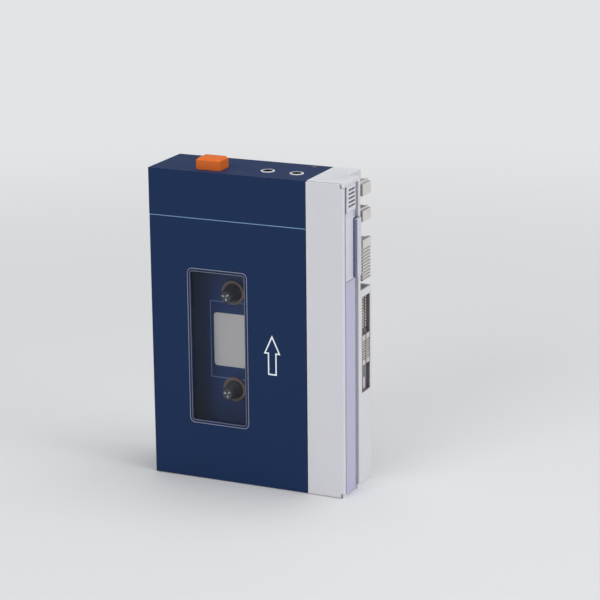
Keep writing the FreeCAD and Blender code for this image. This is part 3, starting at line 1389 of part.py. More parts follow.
rear_case()
top_cover()
hinge_pins()
lid()
window()
cassette_springs()
deck()
deck_label()
cassette_guides()
deck_screws()
case_screws()
reel("take_up", UPPER_HUB_Z)
reel("supply", LOWER_HUB_Z)
reel_bushes()
flywheel()
flywheel_bridge()
motor()
drive_belt()
idler()
posts()
head_base()
head_guides()
tape_head()
pinch_roller()
hotline_button()
jack("headphone_jack_left", "dim.jack_left_x")
jack("headphone_jack_right", "dim.jack_right_x")
top_trim()
control_housing()
battery_cover()
side_strip()
microphone()
for key_name, (key_low, key_high) in KEYS.items():
    key(key_name, key_low, key_high)
stop_bar()
volume()
batteries()
electronics()
doc.recompute()

failed = [item.Label for item in doc.Objects if {"Invalid", "Error"} & set(item.State)]
if failed:
    raise RuntimeError(f"these objects failed: {failed}")
for thing in SUBPARTS:
    if thing.Shape.isNull() or not thing.Shape.isValid() or not thing.Shape.Solids:
        raise RuntimeError(f"{thing.Label} has no valid solid")
    thing.Shape.exportStep(f"parts/{thing.Label}.step")
print(len(SUBPARTS), "sub-parts")
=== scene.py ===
import math

import bmesh
import bpy
from mathutils import Matrix, Vector


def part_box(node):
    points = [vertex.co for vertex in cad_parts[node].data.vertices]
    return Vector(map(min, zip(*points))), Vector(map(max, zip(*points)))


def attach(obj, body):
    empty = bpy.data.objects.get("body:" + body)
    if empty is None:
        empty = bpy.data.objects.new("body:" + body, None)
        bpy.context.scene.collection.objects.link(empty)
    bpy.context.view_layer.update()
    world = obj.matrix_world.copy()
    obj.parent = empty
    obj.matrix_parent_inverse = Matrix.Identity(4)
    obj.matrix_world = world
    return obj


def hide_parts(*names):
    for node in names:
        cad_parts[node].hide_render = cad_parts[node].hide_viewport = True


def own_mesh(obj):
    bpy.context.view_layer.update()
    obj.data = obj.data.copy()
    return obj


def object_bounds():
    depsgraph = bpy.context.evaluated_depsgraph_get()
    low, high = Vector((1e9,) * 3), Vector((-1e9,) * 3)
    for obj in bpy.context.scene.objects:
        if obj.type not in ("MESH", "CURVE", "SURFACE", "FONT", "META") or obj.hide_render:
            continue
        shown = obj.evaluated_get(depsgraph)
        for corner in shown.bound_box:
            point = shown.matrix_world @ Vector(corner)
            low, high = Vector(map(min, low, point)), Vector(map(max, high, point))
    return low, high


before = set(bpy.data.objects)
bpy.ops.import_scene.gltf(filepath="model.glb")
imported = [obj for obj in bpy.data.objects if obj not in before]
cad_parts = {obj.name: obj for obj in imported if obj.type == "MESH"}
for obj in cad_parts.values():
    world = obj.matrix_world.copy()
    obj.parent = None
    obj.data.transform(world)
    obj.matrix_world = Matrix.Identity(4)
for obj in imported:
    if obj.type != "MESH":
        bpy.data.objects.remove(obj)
cad_low, cad_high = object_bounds()

# ---------------------------------------------------------------- camera, floor and light
# The player stands on a plain pale table. A long lens looks down on its right front corner,
# and three large soft boxes light it, the strongest from above.

camera_right = Vector((0.91256, 0.40883, -0.00929)).normalized()
camera_forward = Vector((-0.39585, 0.87744, -0.27091)).normalized()
camera_up = camera_right.cross(camera_forward).normalized()
camera = bpy.data.objects.new("camera", bpy.data.cameras.new("camera"))
camera.data.lens = 135.25
camera.data.sensor_width = 36.0
camera.data.clip_start = 0.01
turn = Matrix((camera_right, camera_up, -camera_forward)).transposed()
camera.matrix_world = Matrix.Translation((0.38835, -0.82114, 0.33273)) @ turn.to_4x4()
bpy.context.collection.objects.link(camera)
bpy.context.scene.camera = camera
bpy.context.scene.view_settings.view_transform = "Standard"


def linear(code):
    """An sRGB hex colour as linear red, green, blue and alpha."""
    parts = [int(code[i:i + 2], 16) / 255 for i in (1, 3, 5)]
    return tuple(p / 12.92 if p <= 0.04045 else ((p + 0.055) / 1.055) ** 2.4 for p in parts) + (1.0,)


def add(tree, kind, values=None, **settings):
    """Add a node; values sets or links its inputs by name or number, settings sets its properties."""
    made = tree.nodes.new(kind)
    for name, setting in settings.items():
        setattr(made, name, setting)
    for name, given in (values or {}).items():
        if isinstance(given, bpy.types.NodeSocket):
            tree.links.new(given, made.inputs[name])
        else:
            made.inputs[name].default_value = given
    return made


def new_material(name):
    """An empty node material with its output node."""
    material = bpy.data.materials.new(name)
    material.use_nodes = True
    material.node_tree.nodes.clear()
    return material, material.node_tree, add(material.node_tree, "ShaderNodeOutputMaterial")


def soft_box(name, place, target, size, power):
    """A large square lamp that faces the target."""
    lamp = bpy.data.lights.new(name, "AREA")
    lamp.shape = "SQUARE"
    lamp.size = size
    lamp.energy = power
    holder = bpy.data.objects.new(name, lamp)
    holder.location = place
    holder.rotation_euler = (Vector(target) - Vector(place)).to_track_quat("-Z", "Y").to_euler()
    bpy.context.collection.objects.link(holder)


middle = (cad_low + cad_high) / 2
soft_box("lamp_above", (0.15, 0.05, 1.25), middle, 0.9, 8.5)
soft_box("lamp_front", (-0.35, -1.5, 0.75), middle, 0.9, 9.0)
soft_box("lamp_right", (1.45, -0.15, 0.45), middle, 0.8, 7.5)

world = bpy.data.worlds.new("studio")
world.use_nodes = True
world.node_tree.nodes["Background"].inputs["Color"].default_value = (0.93, 0.95, 1.0, 1.0)
world.node_tree.nodes["Background"].inputs["Strength"].default_value = 0.36
bpy.context.scene.world = world

# Matt lacquered table top in pale grey, very slightly mottled.
table_finish, tree, out = new_material("pale_table_lacquer")
mottle = add(tree, "ShaderNodeTexNoise", {"Scale": 3.0, "Detail": 3.0})
shade = add(
    tree,
    "ShaderNodeMix",
    {0: mottle.outputs["Fac"], 6: linear("#dededf"), 7: linear("#e4e4e4")},
    data_type="RGBA",
)
surface = add(tree, "ShaderNodeBsdfPrincipled", {"Base Color": shade.outputs[2], "Roughness": 0.7})
# Far from the player the table fades to an even pale tone, so that no horizon shows.
here = add(tree, "ShaderNodeNewGeometry").outputs["Position"]
flat = add(tree, "ShaderNodeVectorMath", {0: here}, operation="LENGTH").outputs["Value"]
far = add(
    tree,
    "ShaderNodeMapRange",
    {"Value": flat, "From Min": 0.12, "From Max": 0.75},
    interpolation_type="SMOOTHSTEP",
)
seen = add(tree, "ShaderNodeLightPath").outputs["Is Camera Ray"]
blend = add(tree, "ShaderNodeMath", {0: far.outputs[0], 1: seen}, operation="MULTIPLY")
haze = add(tree, "ShaderNodeEmission", {"Color": linear("#e3e4e6"), "Strength": 1.0})
mixed = add(tree, "ShaderNodeMixShader", {0: blend.outputs[0], 1: surface.outputs[0], 2: haze.outputs[0]})
tree.links.new(mixed.outputs[0], out.inputs[0])
bpy.ops.mesh.primitive_plane_add(size=14)
table = bpy.context.object
table.name = "table"
table.location.z = cad_low.z
table.data.materials.append(table_finish)

# ---------------------------------------------------------------- blue case shells
# The rear case, the top cover and the lid are injection-moulded ABS in one dark blue, with a fine
# spark-eroded grain. Screws from the back and a pin hinge on the left hold them together.


def on_cad(node, material):
    """Give a CAD node that keeps its own mesh a better finish."""
    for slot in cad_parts[node].material_slots:
        slot.material = material


def object_from(name, mesh, material, body):
    """A finished mesh as an object that rides on a body."""
    piece = bpy.data.objects.new(name, mesh)
    bpy.context.collection.objects.link(piece)
    mesh.materials.clear()
    mesh.materials.append(material)
    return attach(piece, body)


def finish_mesh(shape, name):
    """A mesh from a bmesh, smooth but for its edges sharper than 32 degrees."""
    for face in shape.faces:
        face.smooth = True
    for edge in shape.edges:
        edge.smooth = len(edge.link_faces) == 2 and edge.calc_face_angle(0) < math.radians(32)
    mesh = bpy.data.meshes.new(name)
    shape.to_mesh(mesh)
    shape.free()
    return mesh


def eased(node, radius, material, body, segments=2, merged=True):
    """A CAD node with its edges eased to the radius the mould leaves, in place of the node.

    Flat triangles are merged first, except on a piece whose faces have holes that this would lose.
    """
    shape = bmesh.new()
    shape.from_mesh(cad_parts[node].data)
    bmesh.ops.remove_doubles(shape, verts=shape.verts, dist=2e-6)
    if merged:
        bmesh.ops.dissolve_limit(shape, angle_limit=math.radians(0.3), verts=shape.verts, edges=shape.edges)
    piece = object_from(node + "_eased", finish_mesh(shape, node + "_eased"), material, body)
    bevel = piece.modifiers.new("eased_edges", "BEVEL")
    bevel.width = radius
    bevel.segments = segments
    bevel.limit_method = "ANGLE"
    bevel.angle_limit = math.radians(40)
    bevel.harden_normals = True
    bevel.miter_outer = "MITER_ARC"
    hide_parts(node)
    return piece


def moulded(name, colour, roughness, grain_mm, relief_mm, cloud=0.06, specular=0.45):
    """Injection-moulded plastic: one colour with faint clouds, and the fine grain of the mould."""
    material, tree, out = new_material(name)
    place = add(tree, "ShaderNodeTexCoord").outputs["Object"]
    clouds = add(tree, "ShaderNodeTexNoise", {"Vector": place, "Scale": 55.0, "Detail": 4.0})
    dark, light = (
        tuple(min(1.0, part * (1 + way * cloud)) for part in linear(colour)[:3]) + (1.0,) for way in (-1, 1)
    )
    shade = add(tree, "ShaderNodeMix", {0: clouds.outputs["Fac"], 6: dark, 7: light}, data_type="RGBA")
    grain = add(
        tree,
        "ShaderNodeTexNoise",
        {"Vector": place, "Scale": 1000 / grain_mm / 2, "Detail": 2.0, "Roughness": 0.6},
    )
    gloss = add(
        tree,
        "ShaderNodeMapRange",
        {"Value": clouds.outputs["Fac"], "To Min": roughness - 0.05, "To Max": roughness + 0.05},
    )
    relief = add(
        tree,
        "ShaderNodeBump",
        {"Height": grain.outputs["Fac"], "Distance": relief_mm / 1000, "Strength": 0.6},
    )
    surface = add(
        tree,
        "ShaderNodeBsdfPrincipled",
        {
            "Base Color": shade.outputs[2],
            "Roughness": gloss.outputs[0],
            "Normal": relief.outputs[0],
            "Specular IOR Level": specular,
            "IOR": 1.54,
        },
    )
    tree.links.new(surface.outputs[0], out.inputs[0])
    return material


# Dark blue ABS: satin, a grain of about 0.35 mm, drawn a little coarse so that it shows.
blue_abs = moulded("blue_moulded_abs", "#0f2a52", 0.5, 0.35, 0.04, cloud=0.07, specular=0.16)
eased("rear_case", 0.0005, blue_abs, "case")
eased("top_cover", 0.0005, blue_abs, "case")
eased("lid", 0.00035, blue_abs, "lid")


def trim(name, low, high, material, body, ease=0.00005):
    """A slim block with eased edges between two corners."""
    shape = bmesh.new()
    bmesh.ops.create_cube(shape, size=1.0)
    for vert in shape.verts:
        vert.co = Vector([(low[i] + high[i]) / 2 + vert.co[i] * (high[i] - low[i]) for i in range(3)])
    bmesh.ops.bevel(shape, geom=shape.edges, offset=ease, segments=2, affect="EDGES", profile=0.5)
    return object_from(name, finish_mesh(shape, name), material, body)


# A pale blue strip along the lid's parting line is a painted highlight for the light its edge catches, and a duller
# strip along the cover's top front edge is a painted highlight as well.
COVER_LOW, COVER_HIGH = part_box("top_cover")
LID_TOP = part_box("lid")[1].z
parting_highlight_paint = moulded("pale_blue_painted_highlight", "#6f93bd", 0.4, 0.3, 0.01)
top_edge_highlight_paint = moulded("slate_blue_painted_highlight", "#66758f", 0.4, 0.3, 0.01)
# Painted highlight: a pale blue strip for the light on the lid's parting line.
trim(
    "parting_painted_highlight",
    (COVER_LOW.x + 0.0003, COVER_LOW.y - 0.00003, LID_TOP + 0.00005),
    (COVER_HIGH.x - 0.0001, COVER_LOW.y + 0.0004, LID_TOP + 0.00042),
    parting_highlight_paint,
    "case",
)
# Painted highlight: a slate blue strip for the light on the cover's top front edge.
trim(
    "top_edge_painted_highlight",
    (COVER_LOW.x + 0.0004, COVER_LOW.y + 0.00002, COVER_HIGH.z - 0.0004),
    (COVER_HIGH.x - 0.0002, COVER_LOW.y + 0.0004, COVER_HIGH.z - 0.00002),
    top_edge_highlight_paint,
    "case",
)

# ---------------------------------------------------------------- lid hinge, case and deck screws
# Turned steel pins carry the lid and the battery cover. The slotted case screws and the deck's
# pan-head screws are bright zinc-plated steel.


def metal(name, colour, roughness, grain_mm, stretch=(1, 1, 1)):
    """Bare or plated metal with the fine marks of turning, rolling or plating."""
    material, tree, out = new_material(name)
    place = add(tree, "ShaderNodeTexCoord").outputs["Object"]
    drawn = add(tree, "ShaderNodeMapping", {"Vector": place, "Scale": stretch})
    marks = add(
        tree, "ShaderNodeTexNoise", {"Vector": drawn.outputs[0], "Scale": 1000 / grain_mm / 2, "Detail": 3.0}
    )
    gloss = add(
        tree,
        "ShaderNodeMapRange",
        {"Value": marks.outputs["Fac"], "To Min": roughness - 0.08, "To Max": roughness + 0.1},
    )
    dark, light = (tuple(part * way for part in linear(colour)[:3]) + (1.0,) for way in (0.88, 1.0))
    shade = add(tree, "ShaderNodeMix", {0: marks.outputs["Fac"], 6: dark, 7: light}, data_type="RGBA")
    relief = add(
        tree, "ShaderNodeBump", {"Height": marks.outputs["Fac"], "Distance": 0.00002, "Strength": 0.5}
    )
    surface = add(
        tree,
        "ShaderNodeBsdfPrincipled",
        {
            "Base Color": shade.outputs[2],
            "Metallic": 1.0,
            "Roughness": gloss.outputs[0],
            "Normal": relief.outputs[0],
        },
    )
    tree.links.new(surface.outputs[0], out.inputs[0])
    return material


# Zinc plate is a bluish grey with a soft sheen.
zinc_plate = metal("zinc_plated_steel", "#c3c8ce", 0.32, 0.4)
for fixing in ("lid_hinge_pins", "cover_hinge_pins", "deck_screws", "head_guide_pins", "mechanism_posts"):
    on_cad(fixing, zinc_plate)
eased("case_screws", 0.00018, zinc_plate, "case")

# ---------------------------------------------------------------- window
# A clear acrylic pane sits flush in the lid inside a flat blue rim. A fine raised bead runs round each edge of the
# rim, coloured as a painted highlight for the light its edge catches: silver-blue on the outer one, a duller grey on
# the inner one.

WINDOW_LOW, WINDOW_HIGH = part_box("window_pane")
RIM_LOW, RIM_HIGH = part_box("window_rim")


def rounded_outline(low, high, inset, corner):
    """X and Z of a rounded rectangle, drawn in by inset, with eight steps to each corner."""
    left, right = low.x + inset, high.x - inset
    bottom, top = low.z + inset, high.z - inset
    outline = []
    centres = ((right, top, 0), (left, top, 90), (left, bottom, 180), (right, bottom, 270))
    for edge_x, edge_z, start in centres:
        inward_x = corner if edge_x == left else -corner
        inward_z = corner if edge_z == bottom else -corner
        for step in range(9):
            angle = math.radians(start + step * 90 / 8)
            outline.append(
                (edge_x + inward_x + corner * math.cos(angle), edge_z + inward_z + corner * math.sin(angle))
            )
    return outline


def bead(name, outline, y, thick, material, body, rise=None):
    """A closed half-round bead that follows an outline in X and Z at one Y."""
    points = [Vector((x, y, z)) for x, z in outline]
    count = len(points)
    rise = thick if rise is None else rise
    shape = bmesh.new()
    rings = []
    for index, point in enumerate(points):
        along = (points[(index + 1) % count] - points[index - 1]).normalized()
        across = along.cross(Vector((0, 1, 0))).normalized()
        ring = []
        for step in range(7):
            angle = math.pi * step / 6
            ring.append(
                shape.verts.new(
                    point + across * (thick / 2 * math.cos(angle)) - Vector((0, 1, 0)) * (rise / 2 * math.sin(angle))
                )
            )
        rings.append(ring)
    for index in range(count):
        following = rings[(index + 1) % count]
        for step in range(7):
            nxt = (step + 1) % 7
            shape.faces.new((rings[index][step], rings[index][nxt], following[nxt], following[step]))
    bmesh.ops.recalc_face_normals(shape, faces=shape.faces)
    return object_from(name, finish_mesh(shape, name), material, body)


# The beads' colours are painted highlights: a pale satin silver-blue on the outer bead, a duller grey on the inner.
rim_outer_highlight_paint = moulded("silver_blue_painted_highlight", "#8b8fa3", 0.35, 0.3, 0.01)
rim_inner_highlight_paint = moulded("grey_painted_highlight", "#6f7078", 0.4, 0.3, 0.01)
eased("window_rim", 0.0002, blue_abs, "lid")
RIM_CORNER = 0.0024
BEAD_Y = RIM_LOW.y + 0.00002
bead(
    "rim_outer_bead",
    rounded_outline(RIM_LOW, RIM_HIGH, 0.0002, RIM_CORNER - 0.0002),
    BEAD_Y,
    0.00034,
    rim_outer_highlight_paint,
    "lid",
    0.0004,
)
bead(
    "rim_inner_bead",
    rounded_outline(WINDOW_LOW, WINDOW_HIGH, -0.0003, 0.0011),
    BEAD_Y,
    0.00034,
    rim_inner_highlight_paint,
    "lid",
    0.0004,
)

# Clear acrylic: almost nothing but a faint reflection, so it is mostly transparent.
acrylic, tree, out = new_material("clear_cast_acrylic")
haze_place = add(tree, "ShaderNodeTexCoord").outputs["Object"]
haze = add(tree, "ShaderNodeTexNoise", {"Vector": haze_place, "Scale": 90.0})
gloss = add(tree, "ShaderNodeMapRange", {"Value": haze.outputs["Fac"], "To Min": 0.02, "To Max": 0.07})
clear = add(tree, "ShaderNodeBsdfTransparent", {"Color": linear("#f6f9fc")})
shine = add(tree, "ShaderNodeBsdfGlossy", {"Color": linear("#ffffff"), "Roughness": gloss.outputs[0]})
surface = add(tree, "ShaderNodeMixShader", {0: 0.012, 1: clear.outputs[0], 2: shine.outputs[0]})
tree.links.new(surface.outputs[0], out.inputs[0])
on_cad("window_pane", acrylic)

# ---------------------------------------------------------------- arrow on the lid
# A white outlined arrow, pad-printed beside the window, shows which way the tape runs.

ARROW_X = 0.01160
ARROW_TIP, ARROW_BASE, ARROW_FOOT = 0.0665, 0.0593, 0.0502
ARROW_HEAD, ARROW_SHAFT = 0.0033, 0.0017
PRINT_WIDTH = 0.00055
PRINT_RISE = 0.00006


def printed_line(name, corners, y, width, material, body):
    """A closed printed line of even width with mitred corners, X and Z given, facing the front."""
    points = [Vector((x, 0, z)) for x, z in corners]
    shape = bmesh.new()
    sides = []
    for index, point in enumerate(points):
        before = (point - points[index - 1]).normalized()
        after = (points[(index + 1) % len(points)] - point).normalized()
        normal_before = Vector((-before.z, 0, before.x))
        normal_after = Vector((-after.z, 0, after.x))
        mitre = (normal_before + normal_after).normalized()
        reach = width / 2 / max(0.35, mitre.dot(normal_after))
        sides.append([point + mitre * reach, point - mitre * reach])
    rows = []
    for level in (y, y - PRINT_RISE):
        rows.append([[shape.verts.new((p.x, level, p.z)) for p in pair] for pair in sides])
    back, front = rows
    count = len(points)
    for index in range(count):
        nxt = (index + 1) % count
        shape.faces.new((front[index][0], front[nxt][0], front[nxt][1], front[index][1]))
        shape.faces.new((back[index][1], back[nxt][1], back[nxt][0], back[index][0]))
        shape.faces.new((front[index][0], back[index][0], back[nxt][0], front[nxt][0]))
        shape.faces.new((front[index][1], front[nxt][1], back[nxt][1], back[index][1]))
    bmesh.ops.recalc_face_normals(shape, faces=shape.faces)
    return object_from(name, finish_mesh(shape, name), material, body)


# Pad-printing ink: opaque white, thin, slightly uneven.
white_ink = moulded("white_pad_print_ink", "#f6faff", 0.5, 0.2, 0.01, cloud=0.02)
arrow = [
    (ARROW_X, ARROW_TIP),
    (ARROW_X + ARROW_HEAD, ARROW_BASE),
    (ARROW_X + ARROW_SHAFT, ARROW_BASE),
    (ARROW_X + ARROW_SHAFT, ARROW_FOOT),
    (ARROW_X - ARROW_SHAFT, ARROW_FOOT),
    (ARROW_X - ARROW_SHAFT, ARROW_BASE),
    (ARROW_X - ARROW_HEAD, ARROW_BASE),
]
printed_line("lid_arrow", arrow, cad_low.y, PRINT_WIDTH, white_ink, "lid")

# ---------------------------------------------------------------- cassette well
# The deck is pressed steel stoved in the case's blue, with a thin printed frame and a pale label
# plate between the spindles. Four moulded blocks place the cassette's ends.

# Stoved paint on steel: the case's blue with a light orange peel.
stoved_blue = moulded("blue_stoved_enamel", "#173565", 0.42, 1.6, 0.02, cloud=0.04, specular=0.15)
on_cad("deck_plate", stoved_blue)
DECK_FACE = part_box("deck_plate")[0].y
LABEL_LOW, LABEL_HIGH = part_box("deck_label_plate")
# Grey satin foil on the label plate.
label_foil = moulded("pale_grey_satin_foil", "#dccfc6", 0.45, 0.8, 0.01, cloud=0.03)
eased("deck_label_plate", 0.0001, label_foil, "case")
FRAME_LOW = Vector((LABEL_LOW.x - 0.0016, 0, LABEL_LOW.z - 0.0053))
FRAME_HIGH = Vector((LABEL_HIGH.x + 0.0016, 0, LABEL_HIGH.z + 0.0049))
deck_frame = [
    (FRAME_LOW.x, FRAME_LOW.z),
    (FRAME_LOW.x, FRAME_HIGH.z),
    (FRAME_HIGH.x, FRAME_HIGH.z),
    (FRAME_HIGH.x, FRAME_LOW.z),
]
grey_ink = moulded("grey_blue_screen_ink", "#7d88a6", 0.5, 0.2, 0.01, cloud=0.03)
printed_line("deck_frame_line", deck_frame, DECK_FACE, 0.0003, grey_ink, "case")
# Black acetal: waxy, slightly glossy.
black_acetal = moulded("black_acetal", "#232327", 0.38, 0.5, 0.02)
eased("cassette_guides", 0.0003, black_acetal, "case")
# Spring steel: blued-grey rolled strip.
spring_steel = metal("rolled_spring_steel", "#aab0b6", 0.3, 0.3, stretch=(1, 1, 0.1))
on_cad("cassette_springs", spring_steel)

# ---------------------------------------------------------------- spindles
# Each reel spindle is a dark acetal hub with three pale drive fins, on a brown moulded flange
# that hides the wheel behind the deck. The whole turns in a brass bush.

HUB_X = (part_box("take_up_spindle")[0].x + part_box("take_up_spindle")[1].x) / 2
SPINDLE_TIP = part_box("take_up_spindle")[0].y
SPINDLE_RADIUS = 0.0027
FLANGE_RADIUS = 0.0052


def turned(name, profile, centre, material, body, steps=64):
    """A solid of revolution about a Y axis through centre; the profile lists radius and Y."""
    shape = bmesh.new()
    loops = []
    for radius, y in profile:
        loop = []
        for step in range(steps):
            angle = 2 * math.pi * step / steps
            place = (centre.x + radius * math.cos(angle), y, centre.z + radius * math.sin(angle))
            loop.append(shape.verts.new(place))
        loops.append(loop)
    for lower, upper in zip(loops, loops[1:]):
        for step in range(steps):
            nxt = (step + 1) % steps
            shape.faces.new((lower[step], lower[nxt], upper[nxt], upper[step]))
    shape.faces.new(loops[0])
    shape.faces.new(loops[-1])
    bmesh.ops.recalc_face_normals(shape, faces=shape.faces)
    return object_from(name, finish_mesh(shape, name), material, body)


def repeat_tree(name, material, around):
    """Geometry nodes that set out copies of a bar: in a row, or around the Y axis."""
    tree = bpy.data.node_groups.new(name, "GeometryNodeTree")
    tree.interface.new_socket("Geometry", in_out="OUTPUT", socket_type="NodeSocketGeometry")
    for label, kind in (
        ("Size", "NodeSocketVector"),
        ("Count", "NodeSocketInt"),
        ("Step", "NodeSocketVector"),
        ("Start", "NodeSocketVector"),
    ):
        tree.interface.new_socket(label, in_out="INPUT", socket_type=kind)
    given = add(tree, "NodeGroupInput").outputs
    bar = add(tree, "GeometryNodeMeshCube", {"Size": given["Size"]})
    if around:
        points = add(tree, "GeometryNodeMeshLine", {"Count": given["Count"], "Start Location": (0, 0, 0)})
        points.inputs["Offset"].default_value = (0, 0, 0)
        moved = add(tree, "GeometryNodeTransform", {"Geometry": bar.outputs[0], "Translation": given["Start"]})
        number = add(tree, "GeometryNodeInputIndex")
        angle = add(
            tree,
            "ShaderNodeVectorMath",
            {0: given["Step"], 3: number.outputs[0]},
            operation="SCALE",
        )
        copies = add(
            tree,
            "GeometryNodeInstanceOnPoints",
            {"Points": points.outputs[0], "Instance": moved.outputs[0], "Rotation": angle.outputs[0]},
        )
    else:
        points = add(
            tree,
            "GeometryNodeMeshLine",
            {"Count": given["Count"], "Start Location": given["Start"], "Offset": given["Step"]},
        )
        copies = add(
            tree,
            "GeometryNodeInstanceOnPoints",
            {"Points": points.outputs[0], "Instance": bar.outputs[0]},
        )
    real = add(tree, "GeometryNodeRealizeInstances", {"Geometry": copies.outputs[0]})
    finish = add(tree, "GeometryNodeSetMaterial", {"Geometry": real.outputs[0], "Material": material})
    add(tree, "NodeGroupOutput", {"Geometry": finish.outputs[0]})
    return tree


def repeated(name, material, body, size, count, step, start, around=False, ease=0.0, offset=(0, 0, 0)):
    """A plain mesh of bars set out by geometry nodes, with eased edges, moved by offset."""
    holder = bpy.data.objects.new(name, bpy.data.meshes.new(name))
    bpy.context.collection.objects.link(holder)
    modifier = holder.modifiers.new("set_out", "NODES")
    tree = repeat_tree(name, material, around)
    modifier.node_group = tree
    given = {"Size": size, "Count": count, "Step": step, "Start": start}
    for item in tree.interface.items_tree:
        if item.in_out == "INPUT":
            modifier[item.identifier] = given[item.name]
    if ease:
        bevel = holder.modifiers.new("eased", "BEVEL")
        bevel.width = ease
        bevel.segments = 2
    graph = bpy.context.evaluated_depsgraph_get()
    mesh = bpy.data.meshes.new_from_object(holder.evaluated_get(graph))
    mesh.transform(Matrix.Translation(offset))
    bpy.data.objects.remove(holder)
    return object_from(name, mesh, material, body)


# Ground steel: bright and even.
ground_steel = metal("ground_steel", "#d2d5d8", 0.2, 0.15)
# Ivory acetal for the fins and the keys: warm white, faintly waxy.
ivory_acetal = moulded("ivory_moulded_acetal", "#dcdad4", 0.42, 0.5, 0.02, cloud=0.03)
# Brown-black phenolic for the flanges.
brown_phenolic = moulded("brown_moulded_phenolic", "#7c6258", 0.4, 0.5, 0.02)
hub_acetal = moulded("charcoal_acetal", "#3a383c", 0.45, 0.5, 0.02)
for reel in ("take_up", "supply"):
    low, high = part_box(reel + "_table")
    centre = Vector((HUB_X, 0, (low.z + high.z) / 2))
    body = reel + "_reel"
    flange_front = low.y
    hub = turned(
        reel + "_hub",
        [
            (0.0005, SPINDLE_TIP + 0.0004),
            (SPINDLE_RADIUS - 0.0006, SPINDLE_TIP + 0.0004),
            (SPINDLE_RADIUS - 0.0001, SPINDLE_TIP + 0.0009),
            (SPINDLE_RADIUS + 0.0003, SPINDLE_TIP + 0.0022),
            (SPINDLE_RADIUS + 0.0008, flange_front - 0.0022),
            (SPINDLE_RADIUS + 0.0013, flange_front - 0.0012),
            (SPINDLE_RADIUS + 0.0014, flange_front),
        ],
        centre,
        hub_acetal,
        body,
    )
    shaft = turned(
        reel + "_shaft",
        [(0.0012, flange_front), (0.0012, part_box(reel + "_spindle")[1].y)],
        centre,
        ground_steel,
        body,
    )
    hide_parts(reel + "_spindle")
    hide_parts(reel + "_spindle")
    fins = repeated(
        reel + "_fins",
        ivory_acetal,
        body,
        size=(0.0012, 0.0009, 0.00045),
        count=3,
        step=(0, math.radians(120), 0),
        start=(0.0011, 0, 0),
        around=True,
        ease=0.00015,
        offset=(centre.x, SPINDLE_TIP + 0.00045, centre.z),
    )
    fins.data.transform(
        Matrix.Translation(centre) @ Matrix.Rotation(math.radians(-40), 4, "Y") @ Matrix.Translation(-centre)
    )
    turned(
        reel + "_flange_ring",
        [
            (SPINDLE_RADIUS, flange_front + 0.0002),
            (0.0041, flange_front + 0.0002),
            (0.0042, flange_front - 0.0001),
            (FLANGE_RADIUS - 0.0003, flange_front - 0.0001),
            (FLANGE_RADIUS, flange_front + 0.0003),
            (FLANGE_RADIUS, flange_front + 0.001),
        ],
        centre,
        brown_phenolic,
        body,
    )
    on_cad(reel + "_table", brown_phenolic)

# ---------------------------------------------------------------- drive and playing head
# Brass flywheel and pulley, flat motor and rubber belt sit behind the deck. The head, the pinch
# roller and the capstan reach through it beside the cassette.

# Turned brass: warm yellow with fine lathe marks.
brass = metal("turned_brass", "#c9a45c", 0.28, 0.25)
for node in ("flywheel", "motor_pulley", "capstan_bearing", "reel_bushes"):
    on_cad(node, brass)
for node in ("capstan_shaft", "tape_head", "motor"):
    on_cad(node, ground_steel)
for node in ("head_base", "pinch_arm", "flywheel_bridge"):
    on_cad(node, zinc_plate)
# Black rubber: matt, with a fine ground surface.
rubber = moulded("black_ground_rubber", "#1c1c1e", 0.75, 0.2, 0.04, specular=0.25)
for node in ("drive_belt", "pinch_roller", "idler_wheel"):
    on_cad(node, rubber)

# ---------------------------------------------------------------- hotline button
# An orange acetal cap with a broad chamfer slides in the top. A steel coil under it brings it back
# off its small switch.

# Orange acetal: strong colour, semi-gloss.
orange_acetal = moulded("orange_moulded_acetal", "#dd6a1c", 0.42, 0.6, 0.02, cloud=0.04, specular=0.3)
eased("hotline_button", 0.00035, orange_acetal, "hotline_button", segments=3)
on_cad("hotline_switch", black_acetal)


def coil(name, start, end, radius, wire, turns, body):
    """A round-wire coil spring between two points."""
    axis = (end - start).normalized()
    side = axis.orthogonal().normalized()
    other = axis.cross(side)
    shape = bmesh.new()
    steps = turns * 20
    rings = []
    for step in range(steps + 1):
        share = step / steps
        angle = 2 * math.pi * turns * share
        out_way = side * math.cos(angle) + other * math.sin(angle)
        along = wire / 2 + ((end - start).length - wire) * share
        centre = start + axis * along + out_way * (radius - wire / 2)
        ring = []
        for point in range(8):
            turn_angle = 2 * math.pi * point / 8
            ring.append(
                shape.verts.new(
                    centre + (out_way * math.cos(turn_angle) + axis * math.sin(turn_angle)) * (wire / 2)
                )
            )
        rings.append(ring)
    for lower, upper in zip(rings, rings[1:]):
        for point in range(8):
            nxt = (point + 1) % 8
            shape.faces.new((lower[point], lower[nxt], upper[nxt], upper[point]))
    shape.faces.new(rings[0])
    shape.faces.new(rings[-1])
    bmesh.ops.recalc_face_normals(shape, faces=shape.faces)
    spring = object_from(name + "_coil", finish_mesh(shape, name), spring_steel, body)
    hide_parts(name)
    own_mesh(spring)
    return spring


low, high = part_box("hotline_spring")
centre = (low + high) / 2
coil(
    "hotline_spring",
    Vector((centre.x, centre.y, low.z)),
    Vector((centre.x, centre.y, high.z)),
    (high.x - low.x) / 2,
    0.0004,
    6,
    "case",
)

# ---------------------------------------------------------------- sockets and lamp
# Two 3.5 mm sockets open in the top inside white moulded rings, and a small smoked lamp lens sits
# behind the right one.

# White ABS of the rings and the column: neutral, satin.
white_abs = moulded("white_moulded_abs", "#d6d6da", 0.5, 0.4, 0.03, cloud=0.02, specular=0.25)
eased("jack_rings", 0.0002, white_abs, "case")
for node in ("headphone_jack_left", "headphone_jack_right"):
    on_cad(node, black_acetal)
